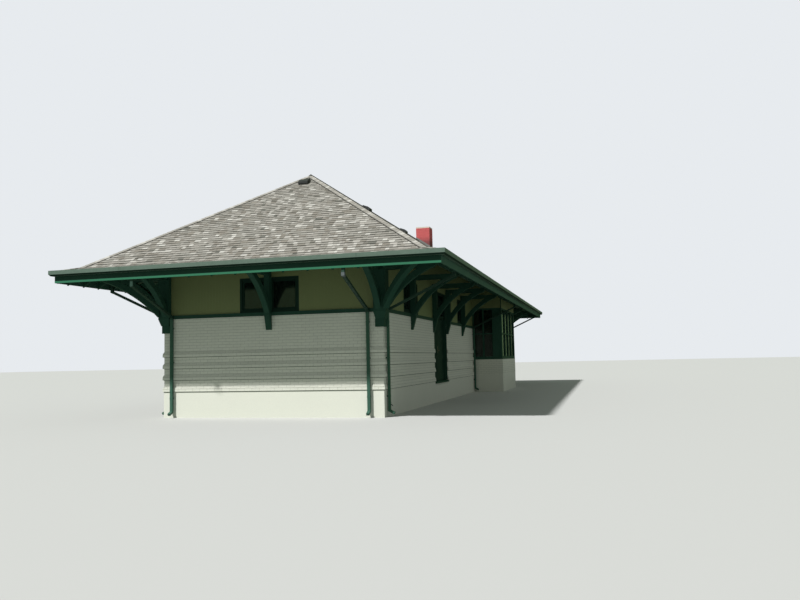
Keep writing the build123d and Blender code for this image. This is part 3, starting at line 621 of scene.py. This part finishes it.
def lay_tab(build, frame_of_slope, tab, low, high, raised, rng):
    """One tab: thick at its low edge, thin where the next course covers it, with a dark part of uneven height."""
    origin, across, up, normal = frame_of_slope
    lift = TAB_LOW_EDGE + (TAB_EXTRA if raised else 0)
    tone = random_tone(rng, RAISED_TONE if raised else FLAT_TONE, TAB_SPREAD)
    shade = rng.uniform(*TAB_SHADE)
    base, top, rises = [], [], []
    for x, y in tab:
        point = origin + across * x + up * y
        share = (y - low) / (high - low)
        rises.append(share * shade)
        base.append(point + normal * TAB_BASE)
        top.append(point + normal * (lift + (TAB_HIGH_EDGE - lift) * share))
    build.prism(base, top, tone, rises)


def lay_part(build, side, part, rng):
    """Courses of tabs with uneven widths; some tabs have a second layer that stands higher."""
    drip = EAVE_DRIP if part is FLARE else 0.0
    frame_of_slope = slope_frame(side, part)
    outline = slope_outline(side, part, drip)
    length = slope_length(part)
    count = round(length / EXPOSURE)
    step = length / count
    for course in range(count):
        low = course * step - (drip if course == 0 else 0)
        high = min((course + 1) * step + TAB_LAP, length)
        reach = outline[1][0] - (outline[1][0] - outline[3][0]) * max(low, 0) / length
        u = -reach - rng.uniform(0, TAB_WIDTHS[1])
        while u < reach:
            width = rng.uniform(*TAB_WIDTHS)
            left, right = u + TAB_GAP / 2, u + width - TAB_GAP / 2
            tab = clip([(left, low), (right, low), (right, high), (left, high)], outline)
            if len(tab) > 2 and area(tab) > TAB_SMALLEST:
                lay_tab(build, frame_of_slope, tab, low, high, rng.random() < RAISED_SHARE, rng)
            u += width


def lay_shingles(side, seed):
    rng = random.Random(seed)
    build = Builder()
    lay_part(build, side, FLARE, rng)
    lay_part(build, side, MAIN, rng)
    return build.finish(side + "_shingles", SHINGLE)


def lay_caps(build, start, end, wing_a, wing_b, lift, rng):
    """Folded cap shingles from start up to end, each lapping the one below."""
    run = end - start
    count = max(1, round(run.length / CAP_LENGTH))
    step = run / count
    up = -(wing_a + wing_b).normalized()
    for i in range(count):
        a = start + step * i
        b = a + step * CAP_LAP if i < count - 1 else a + step
        tone = random_tone(rng, CAP_TONE, CAP_SPREAD)
        rows = []
        for point, height in ((a, lift + CAP_THICKNESS), (b, lift)):
            top = point + up * height
            rows.append([top + wing_a * CAP_HALF, top, top + wing_b * CAP_HALF])
        under = [[p - up * (CAP_THICKNESS * CAP_UNDER) for p in row] for row in rows]
        points = rows[0] + rows[1] + under[0] + under[1]
        faces = [(0, 1, 4, 3), (1, 2, 5, 4), (6, 9, 10, 7), (7, 10, 11, 8), (0, 6, 7, 1), (1, 7, 8, 2),
                 (3, 4, 10, 9), (4, 5, 11, 10), (0, 3, 9, 6), (2, 8, 11, 5)]
        # The rises make each cap darker towards both its edges.
        build.solid(points, faces, tone, [CAP_EDGE, 0.0, CAP_EDGE] * 4)


def wing(direction, side, part):
    """Unit vector in a slope's plane, square to a hip or ridge and leading away down the slope."""
    normal = slope_frame(side, part)[3]
    sideways = normal.cross(direction).normalized()
    return sideways if sideways.z < 0 else -sideways


def hip_point(x_sign, y_sign, outward, height):
    return Vector((x_sign * (HALF_WIDTH + outward), y_sign * (HALF_LENGTH + outward), height))


def lay_hip_caps():
    """Caps over the four hips, which stand for the solid hip caps."""
    rng = random.Random(11)
    build = Builder()
    for x_sign, y_sign in ((1, -1), (1, 1), (-1, 1), (-1, -1)):
        sides = ("track" if x_sign > 0 else "street", "far_end" if y_sign > 0 else "near_end")
        for part in (FLARE, MAIN):
            edge, head, base, pitch = part
            low = hip_point(x_sign, y_sign, edge, base)
            top = hip_point(x_sign, y_sign, head, base + pitch * (edge - head))
            direction = (top - low).normalized()
            start = low + direction * (HIP_END if part is FLARE else 0.0)
            end = top - direction * (HIP_END if part is MAIN else 0.0)
            lay_caps(build, start, end, wing(direction, sides[0], part), wing(direction, sides[1], part),
                     CAP_LIFT, rng)
    piece = build.finish("hip_cap_shingles", SHINGLE)
    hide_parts("hip_caps")


def lay_ridge_caps():
    """Caps over the ridge vent, cut where the chimney stands in them."""
    rng = random.Random(12)
    build = Builder()
    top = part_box("ridge_cap")[1].z + RIDGE_LIFT
    chimney_low, chimney_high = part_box("chimney")
    direction = Vector((0, 1, 0))
    wings = wing(direction, "track", MAIN), wing(direction, "street", MAIN)
    for y0, y1 in ((-RIDGE_HALF, chimney_low.y + CHIMNEY_BAND), (chimney_high.y - CHIMNEY_BAND, RIDGE_HALF)):
        lay_caps(build, Vector((0, y0, top)), Vector((0, y1, top)), *wings, RIDGE_LIFT, rng)
    build.finish("ridge_cap_shingles", SHINGLE)


def lay_roof():
    for seed, side in enumerate(SIDES):
        lay_shingles(side, seed + 1)
    lay_hip_caps()
    lay_ridge_caps()


# Bricks


def lay_brick(build, side, plane, ends, heights, reach, corners, tone):
    """One brick's face. Its ends that turn a corner of the wall are mitred."""
    rows = []
    for height, k, edge in ((heights[0], reach[0], BRICK_EDGE), (heights[1], reach[1], -BRICK_EDGE)):
        back, front = [], []
        for y, corner, sign in ((ends[0], corners[0], -1), (ends[1], corners[1], 1)):
            grow = sign * k if corner else 0.0
            tip = grow + sign * BRICK_PROUD if corner else -sign * BRICK_EDGE
            back.append(wall_point(side, plane + k - BRICK_BACK, y + grow, height))
            front.append(wall_point(side, plane + k + BRICK_PROUD, y + tip, height + edge))
        rows.append((back, front))
    (back0, front0), (back1, front1) = rows
    build.prism(back0 + back1[::-1], front0 + front1[::-1], tone)


def lay_course(build, side, plane, y0, y1, z0, z1, reach, odd, corners, rng):
    """A row of stretchers whose joints break with those of the row below."""
    edges = [y0]
    y = y0 + BRICK_LENGTH * (0.5 if odd else 1.0)
    while y < y1 - BRICK_LENGTH * SHORTEST_BRICK:
        edges.append(y)
        y += BRICK_LENGTH
    edges.append(y1)
    last = len(edges) - 2
    for i in range(last + 1):
        ends = (edges[i] + (END_JOINT / 2 if i else 0), edges[i + 1] - (END_JOINT / 2 if i < last else 0))
        turns = (corners[0] and i == 0, corners[1] and i == last)
        lay_brick(build, side, plane, ends, (z0 + JOINT / 2, z1 - JOINT / 2), reach, turns, rng.random())


def lay_field(build, side, plane, y0, y1, low, high, corners, rng, lips=False):
    """Courses from a low height up, standing out in lips where the wall has them."""
    for row in range(math.ceil((high - low) / COURSE - 0.01)):
        z0 = low + row * COURSE
        reach = (0.0, 0.0)
        if lips and row < LIP_ROWS and row % LIP_SPACING == 0:
            reach = (LIP, LIP)
        elif lips and row < LIP_ROWS and row % LIP_SPACING == 1:
            reach = (LIP, 0.0)
        lay_course(build, side, plane, y0, y1, z0, min(z0 + COURSE, high), reach, row % 2, corners, rng)


def add_ledge_line(build, side, y0, y1, corners, reach, low, high):
    """A thin strip of painted shade just outside a face that stands out by reach, also where the wall turns a corner.
    """
    build.box(side, reach + GAP, reach + GAP + LEDGE_LINE_DEPTH, y0 - corners[0] * reach, y1 + corners[1] * reach,
              low, high)


def lay_wall_bricks():
    """Each field is a length of wall and whether it ends at a corner; thin strips of painted shade lie under the lips
    and the bricks.
    """
    spans = {"near_end": [(-HALF_WIDTH, HALF_WIDTH, (True, True))],
             "far_end": [(-HALF_WIDTH, HALF_WIDTH, (True, True))],
             "track": [(-HALF_LENGTH, DOOR_SPAN[0], (True, False)), (DOOR_SPAN[1], BAY_SPAN[0], (False, False)),
                       (BAY_SPAN[1], HALF_LENGTH, (False, True))],
             "street": [(-HALF_LENGTH, STREET_DOOR_SPAN[0], (True, False)),
                        (STREET_DOOR_SPAN[1], HALF_LENGTH, (False, True))]}
    shade_strips = Builder()
    for side, fields in spans.items():
        rng = random.Random(side)
        build = Builder()
        for y0, y1, corners in fields:
            lay_field(build, side, 0.0, y0, y1, FLOOR_TOP, BELT_BOTTOM, corners, rng, lips=True)
            for ledge in range(1, LIP_ROWS // LIP_SPACING):
                z = FLOOR_TOP + ledge * LIP_SPACING * COURSE
                add_ledge_line(shade_strips, side, y0, y1, corners, BRICK_PROUD, z - LEDGE_LINE, z + JOINT / 2)
            add_ledge_line(shade_strips, side, y0, y1, corners, FOUNDATION_REACH, FLOOR_TOP - LEDGE_LINE, FLOOR_TOP - GAP)
        build.finish(side + "_bricks", WALL)
    shade_strips.finish("ledge_lines", LEDGE_SHADE)


def lay_bay_bricks():
    """Bricks of the bay below its windows, in front and at both sides."""
    rng = random.Random(21)
    build = Builder()
    inner, outer = HALF_WIDTH, HALF_WIDTH + BAY_DEPTH
    lay_field(build, "track", BAY_DEPTH, BAY_SPAN[0], BAY_SPAN[1], FLOOR_TOP, BAY_SILL, (True, True), rng)
    lay_field(build, "near_end", -BAY_SPAN[0] - HALF_LENGTH, inner, outer, FLOOR_TOP, BAY_SILL, (False, True), rng)
    lay_field(build, "far_end", BAY_SPAN[1] - HALF_LENGTH, -outer, -inner, FLOOR_TOP, BAY_SILL, (True, False), rng)
    build.finish("bay_bricks", WALL)


def lay_chimney_bricks():
    """Bricks flush with the band of the solid chimney, over a backing as deep as the band."""
    rng = random.Random(22)
    build = Builder()
    low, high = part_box("chimney")
    middle = (low + high) / 2
    half = (high.x - low.x) / 2 - CHIMNEY_BAND
    band = high.z - BAND_BELOW_TOP
    foot = band - CHIMNEY_ROWS * CHIMNEY_COURSE
    rows = [(band - (i + 1) * CHIMNEY_COURSE, band - i * CHIMNEY_COURSE) for i in range(CHIMNEY_ROWS)]
    rows += [(band, band + CHIMNEY_COURSE), (band + CHIMNEY_COURSE, band + 2 * CHIMNEY_COURSE),
             (band + 2 * CHIMNEY_COURSE, high.z)]
    backing = CHIMNEY_BAND - GAP
    for side, plane, centre in (("track", middle.x + half - HALF_WIDTH, middle.y),
                                ("street", half - middle.x - HALF_WIDTH, -middle.y),
                                ("far_end", middle.y + half - HALF_LENGTH, -middle.x),
                                ("near_end", half - middle.y - HALF_LENGTH, middle.x)):
        build.box(side, plane, plane + backing, centre - half - backing, centre + half + backing, foot, band, 0.2)
        for i, (z0, z1) in enumerate(rows):
            lay_course(build, side, plane, centre - half, centre + half, z0, z1, (CHIMNEY_BAND, CHIMNEY_BAND), i % 2,
                       (True, True), rng)
    build.finish("chimney_bricks", CHIMNEY)


# Gutters, chimney fittings, doors and pipes


def add_gutter_straps():
    """Straps across the open top of each gutter."""
    build = Builder()
    high = GUTTER_TOP - GUTTER_LIP
    for side in SIDES:
        reach = run_half(side) + OVERHANG - STRAP_START
        count = round(2 * reach / STRAP_SPACING)
        for i in range(count + 1):
            y = -reach + 2 * reach * i / count
            build.box(side, OVERHANG + STRAP_INSET, GUTTER_FRONT - STRAP_INSET, y - STRAP_HALF, y + STRAP_HALF,
                      high - STRAP_SHEET, high)
    build.finish("gutter_straps", GUTTER)


def run_round_eaves(name, section, material):
    """A bar along the gutters of all four sides, mitred at the corners."""
    build = Builder()
    for side in SIDES:
        rings = [[wall_point(side, k, end * (run_half(side) + k), z) for k, z in section] for end in (-1, 1)]
        build.prism(*rings)
    build.finish(name, material)


def add_gutter_fronts():
    """Square fronts of the gutters, which close the bow of the sheet below its upright face."""
    low, high = GUTTER_TOP - GUTTER_FACE, GUTTER_TOP - GUTTER_LIP
    outer, inner = GUTTER_FRONT - GAP, GUTTER_FRONT - FRONT_SHEET
    section = ((GUTTER_FRONT - FRONT_FOOT, low), (outer, low), (outer, high), (inner, high),
               (inner, GUTTER_MIDDLE))
    run_round_eaves("gutter_fronts", section, GUTTER)


def add_gutter_undersides():
    """A dark skin of painted shade under the bowed sheet of each gutter, from its foot to the square front."""
    foot = Vector((OVERHANG + GUTTER_WIDTH * GUTTER_FOOT, GUTTER_TOP - GUTTER_HEIGHT))
    chord = Vector((GUTTER_FRONT, GUTTER_MIDDLE)) - foot
    outward = Vector((chord.y, -chord.x)).normalized()
    bow = [foot + chord * t + outward * (4 * GUTTER_BOW * t * (1 - t)) for t in SKIN_STEPS]
    section = [point + outward * SKIN_FAR for point in bow] + [point + outward * SKIN_NEAR for point in reversed(bow)]
    run_round_eaves("gutter_undersides", section, SASH)


def add_flashing():
    """Sheet metal turned up round the chimney and, on the track side, down on to the slope."""
    build = Builder()
    low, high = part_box("chimney")
    middle = (low + high) / 2
    half = (high.x - low.x) / 2 + BRICK_PROUD + FLASHING_GAP

    def roof(x):
        return RIDGE - PITCH * abs(x) + FLASHING_LIFT

    def add_sheet(outline, lap, direction):
        near, far = [[Vector((x, y, z)) for x, z in outline] for y in (middle.y - half - lap, middle.y + half + lap)]
        build.prism(near[::-direction], far[::-direction])

    x0, x1 = middle.x - half, middle.x + half
    for y, direction in ((middle.y - half, -1), (middle.y + half, 1)):
        near = [Vector((x, y, roof(x) + rise)) for x, rise in ((x0, 0), (x1, 0), (x1, FLASHING_RISE),
                                                               (x0, FLASHING_RISE))]
        far = [p + Vector((0, direction * FLASHING_SHEET, 0)) for p in near]
        build.prism(near[::-direction], far[::-direction])
    for x, direction in ((x1, 1), (x0, -1)):
        face, foot = x + direction * FLASHING_SHEET, roof(x)
        add_sheet([(x, foot), (face, foot), (face, foot + FLASHING_RISE), (x, foot + FLASHING_RISE)], 0.0, direction)
    apron = [(x, roof(x) + APRON_LIFT) for x in (x1, x1 + APRON_REACH)]
    add_sheet(apron + [(x, z + FLASHING_SHEET) for x, z in reversed(apron)], APRON_LAP, 1)
    build.finish("chimney_flashing", FLASHING)


def add_flue_liner():
    """The clay liner of the flue, whose rim shows just below the top of the stack."""
    build = Builder()
    low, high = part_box("chimney")
    middle = (low + high) / 2
    outer, inner = LINER_OUTER, LINER_INNER
    for x0, x1, y0, y1 in ((-outer, outer, -outer, -inner), (-outer, outer, inner, outer),
                           (-outer, -inner, -inner, inner), (inner, outer, -inner, inner)):
        plan = [(x0, y0), (x1, y0), (x1, y1), (x0, y1)]
        base = [Vector((middle.x + x, middle.y + y, high.z - LINER_DEPTH)) for x, y in plan]
        build.prism(base, [p + Vector((0, 0, LINER_LENGTH)) for p in base])
    build.finish("flue_liner", CLAY)


def add_door_linings():
    """Boards that line the reveals outside the leaves."""
    build = Builder()
    low, high = FLOOR_TOP + GAP, DOOR_TOP - GAP
    for side, (y0, y1) in (("track", DOOR_SPAN), ("street", STREET_DOOR_SPAN)):
        for start, end, foot in ((y0 + GAP, y0 + LINING, low), (y1 - LINING, y1 - GAP, low),
                                 (y0 + LINING + GAP, y1 - LINING - GAP, DOOR_TOP - LINING)):
            build.box(side, LINING_BACK, LINING_FRONT, start, end, foot, high)
    build.finish("door_linings", TRIM)


def add_door_furniture():
    """A lock plate and a knob beside the meeting edge of each door's far leaf, on its outer face."""
    face = -LEAF_RECESS
    height = FLOOR_TOP + KNOB_HEIGHT
    middle = sum(DOOR_SPAN) / 2
    for side, centre, body in (("track", middle, "far_leaf"), ("street", -middle, BODY)):
        build = Builder()
        y = centre + KNOB_INSET
        build.box(side, face, face + PLATE_DEPTH, y - PLATE_HALF, y + PLATE_HALF, FLOOR_TOP + PLATE_LOW,
                  FLOOR_TOP + PLATE_HIGH)
        for start, end, first, last in KNOB_RINGS:
            build.rod(wall_point(side, face + start, y, height), wall_point(side, face + end, y, height), first, 16,
                      end_radius=last)
        build.finish(side + "_door_knob", BRASS, body)


def add_pipe_straps():
    """Straps that hold the downspouts to the wall, and the collar at the top of each."""
    build = Builder()
    inner = BELT_REACH + PIPE_GAP
    outer = inner + PIPE_DEPTH
    for side, y in PIPES:
        y0, y1 = y - PIPE_WIDTH / 2, y + PIPE_WIDTH / 2
        for low in PIPE_STRAPS:
            for back, start, end in ((0.0, y0 - PIPE_STRAP_REACH, y0 - GAP), (0.0, y1 + GAP, y1 + PIPE_STRAP_REACH),
                                     (outer + GAP, y0 - GAP, y1 + GAP)):
                build.box(side, back, outer + PIPE_STRAP_REACH, start, end, low, low + PIPE_STRAP_HEIGHT)
        build.box(side, inner - COLLAR_BACK, outer + COLLAR_REACH, y0 - COLLAR_REACH, y1 + COLLAR_REACH,
                  COLLAR_LOW, PIPE_JOINT)
    build.finish("pipe_straps", PIPE)


def leader_route(side):
    """A leader drops behind the fascia, then runs back under the eave to the pipe on the wall."""
    outward, height = LEADER_ELBOW[side not in LONG_SIDES]
    under = EAVE_TOP + FLARE_PITCH * (OVERHANG - outward) - ROOF_THICKNESS - LEADER_CLEAR
    return [(outward, under), (outward, height), (WALL_LINE, PIPE_BEND), (WALL_LINE, PIPE_JOINT + PIPE_CLEAR)]


def lay_pipe(build, side, along, route, width, depth):
    """A square pipe mitred at each bend of a route that is given outward and up."""
    places = [Vector(point) for point in route]
    runs = [(b - a).normalized() for a, b in zip(places, places[1:])]
    rings = []
    for i, place in enumerate(places):
        before, after = runs[max(0, i - 1)], runs[min(i, len(runs) - 1)]
        square = Vector((-before.y - after.y, before.x + after.x)).normalized()
        offset = square * (depth / 2 / square.dot(Vector((-before.y, before.x))))
        corners = ((place - offset, -width / 2), (place + offset, -width / 2),
                   (place + offset, width / 2), (place - offset, width / 2))
        rings.append([wall_point(side, spot.x, along + shift, spot.y) for spot, shift in corners])
    for low, high in zip(rings, rings[1:]):
        build.prism(low, high)


def add_far_corner_pipe():
    """The pipe at the far track-side corner, which the solids leave out."""
    build = Builder()
    route = [(WALL_LINE, PIPE_JOINT), (WALL_LINE, SHOE_HEIGHT), (WALL_LINE + SHOE_REACH, SHOE_HEIGHT - SHOE_DROP)]
    lay_pipe(build, *FAR_CORNER_PIPE, route, PIPE_WIDTH, PIPE_DEPTH)
    build.finish("far_corner_pipe", PIPE)


def add_leaders():
    """Leaders with a sleeve over the elbow and one above the pipe; the elbow near one corner is bare metal."""
    leaders, bare = Builder(), Builder()
    sleeve = (PIPE_WIDTH + SLEEVE_EXTRA, PIPE_DEPTH + SLEEVE_EXTRA)
    for side, along in PIPES:
        route = leader_route(side)
        lay_pipe(leaders, side, along, route, PIPE_WIDTH, PIPE_DEPTH)
        elbow, end = Vector(route[1]), Vector(route[2])
        back = (end - elbow).normalized()
        lay_pipe(bare if (side, along) == BARE_PIPE else leaders, side, along,
                 [elbow + Vector((0, SLEEVE_REACH)), elbow, elbow + back * SLEEVE_REACH], *sleeve)
        lay_pipe(leaders, side, along, [end - back * SLEEVE_START, end - back * SLEEVE_END], *sleeve)
    piece = leaders.finish("leader_pipes", LEADER)
    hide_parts("gutter_leaders")
    bare.finish("bare_elbow", BARE)


def add_bay_boards():
    """Frieze boards that run round the corners of the bay above its windows, up to a narrow corner strip."""
    build = Builder()

    def under(outward):
        return FLARE_TOP + PITCH * (FLARE_START - outward) - ROOF_DEPTH

    low = BAY_HEAD + BOARD_CLEAR
    inner, outer = BAY_DEPTH - BAY_CORNER - BOARD_LAP, BAY_DEPTH - CORNER_STRIP
    section = ((inner, low), (outer, low), (outer, under(outer)), (inner, under(inner)))
    for corner, inward in ((BAY_SPAN[0], 1), (BAY_SPAN[1], -1)):
        rings = [[wall_point("track", k, corner - inward * out, z) for k, z in section] for out in (GAP, BAY_BOARD)]
        build.prism(*rings[::-inward])
        y0, y1 = sorted((corner + inward * CORNER_STRIP, corner + inward * (BAY_POST + BOARD_LAP)))
        build.box("track", BAY_DEPTH + GAP, BAY_DEPTH + BAY_BOARD, y0, y1, low, under(BAY_DEPTH))
    build.finish("bay_frieze_boards", FRIEZE)


def add_wall_tap():
    """A small water tap on the track wall near the corner."""
    build = Builder()
    for start, end, radius, sides in TAP_RODS:
        ends = [wall_point("track", k, TAP_PLACE - HALF_LENGTH, z) for k, z in (start, end)]
        build.rod(*ends, radius, sides)
    build.finish("wall_tap", BARE)


# Stage, light and camera


def add_floor():
    """A floor that is pale to the camera, darker for bounced light and dark green in reflections."""
    size = 150.0
    seen, lit, reflected = (0.6, 0.6, 0.58), (0.24, 0.27, 0.245), (0.07, 0.10, 0.045)
    mesh = bpy.data.meshes.new("floor_plane")
    mesh.from_pydata([(-size, -size, 0), (size, -size, 0), (size, size, 0), (-size, size, 0)], [], [(0, 1, 2, 3)])
    surface = Surface("stage_floor", roughness=0.9)
    path = surface.add("ShaderNodeLightPath").outputs
    in_view = surface.math("MAXIMUM", path["Is Camera Ray"], path["Is Transmission Ray"])
    surface.colour(surface.mix(in_view, surface.mix(path["Is Glossy Ray"], lit, reflected), seen))
    mesh.materials.append(surface.material)
    floor_plane = bpy.data.objects.new("floor_plane", mesh)
    bpy.context.scene.collection.objects.link(floor_plane)


def add_world():
    """An even sky: a dim light, pale to the camera and dark green in reflections."""
    light, strength = (0.88, 0.98, 0.96, 1.0), 0.22
    reflected, seen = (0.20, 0.30, 0.14, 1.0), (0.80, 0.83, 0.86, 1.0)
    world = bpy.data.worlds.new("studio")
    bpy.context.scene.world = world
    world.use_nodes = True
    tree = world.node_tree
    background = tree.nodes["Background"]
    background.inputs["Color"].default_value = light
    background.inputs["Strength"].default_value = strength
    path = tree.nodes.new("ShaderNodeLightPath").outputs
    in_view = tree.nodes.new("ShaderNodeMath")
    in_view.operation = "MAXIMUM"
    tree.links.new(path["Is Camera Ray"], in_view.inputs[0])
    tree.links.new(path["Is Transmission Ray"], in_view.inputs[1])
    last = background.outputs[0]
    for factor, colour in ((path["Is Glossy Ray"], reflected), (in_view.outputs[0], seen)):
        plain = tree.nodes.new("ShaderNodeBackground")
        plain.inputs["Color"].default_value = colour
        mix = tree.nodes.new("ShaderNodeMixShader")
        tree.links.new(factor, mix.inputs["Fac"])
        tree.links.new(last, mix.inputs[1])
        tree.links.new(plain.outputs[0], mix.inputs[2])
        last = mix.outputs[0]
    tree.links.new(last, tree.nodes["World Output"].inputs["Surface"])


def add_sun(name, direction, strength, degrees):
    """A lamp as far away as the sun; degrees is how wide it looks, which softens its shadows."""
    data = bpy.data.lights.new(name, "SUN")
    data.energy = strength
    data.angle = math.radians(degrees)
    lamp = bpy.data.objects.new(name, data)
    lamp.rotation_euler = Vector(direction).to_track_quat("-Z", "Y").to_euler()
    bpy.context.scene.collection.objects.link(lamp)


def add_camera():
    """The photograph's camera, in the part's own frame."""
    place = Vector((8.3585, -29.5657, 1.4381))
    yaw = math.radians(14.893)
    pitch = math.radians(4.379)
    roll = math.radians(1.237)
    focal_pixels = 764.9
    image_width = 800
    forward = Vector((-math.sin(yaw) * math.cos(pitch), math.cos(yaw) * math.cos(pitch), math.sin(pitch)))
    level = Vector((math.cos(yaw), math.sin(yaw), 0))
    down = forward.cross(level)
    image_x = level * math.cos(roll) + down * math.sin(roll)
    image_y = down * math.cos(roll) - level * math.sin(roll)
    data = bpy.data.cameras.new("camera")
    data.sensor_width = 36.0
    data.lens = focal_pixels / image_width * data.sensor_width
    data.clip_end = 500.0
    camera = bpy.data.objects.new("camera", data)
    turn = Matrix((image_x, -image_y, -forward)).transposed().to_4x4()
    camera.matrix_world = Matrix.Translation(place) @ turn
    bpy.context.scene.collection.objects.link(camera)
    bpy.context.scene.camera = camera


add_camera()
dress_nodes()
lay_roof()
lay_wall_bricks()
lay_bay_bricks()
lay_chimney_bricks()
add_gutter_straps()
add_gutter_fronts()
add_gutter_undersides()
add_flashing()
add_flue_liner()
add_door_linings()
add_door_furniture()
add_pipe_straps()
add_far_corner_pipe()
add_leaders()
add_bay_boards()
add_wall_tap()
add_floor()
add_world()
add_sun("main_light", direction=(0.5, 0.69, -0.98), strength=4.0, degrees=3)
add_sun("fill_light", direction=(-0.8, 0.5, -0.5), strength=0.12, degrees=60)
bpy.context.scene.view_settings.view_transform = "Standard"
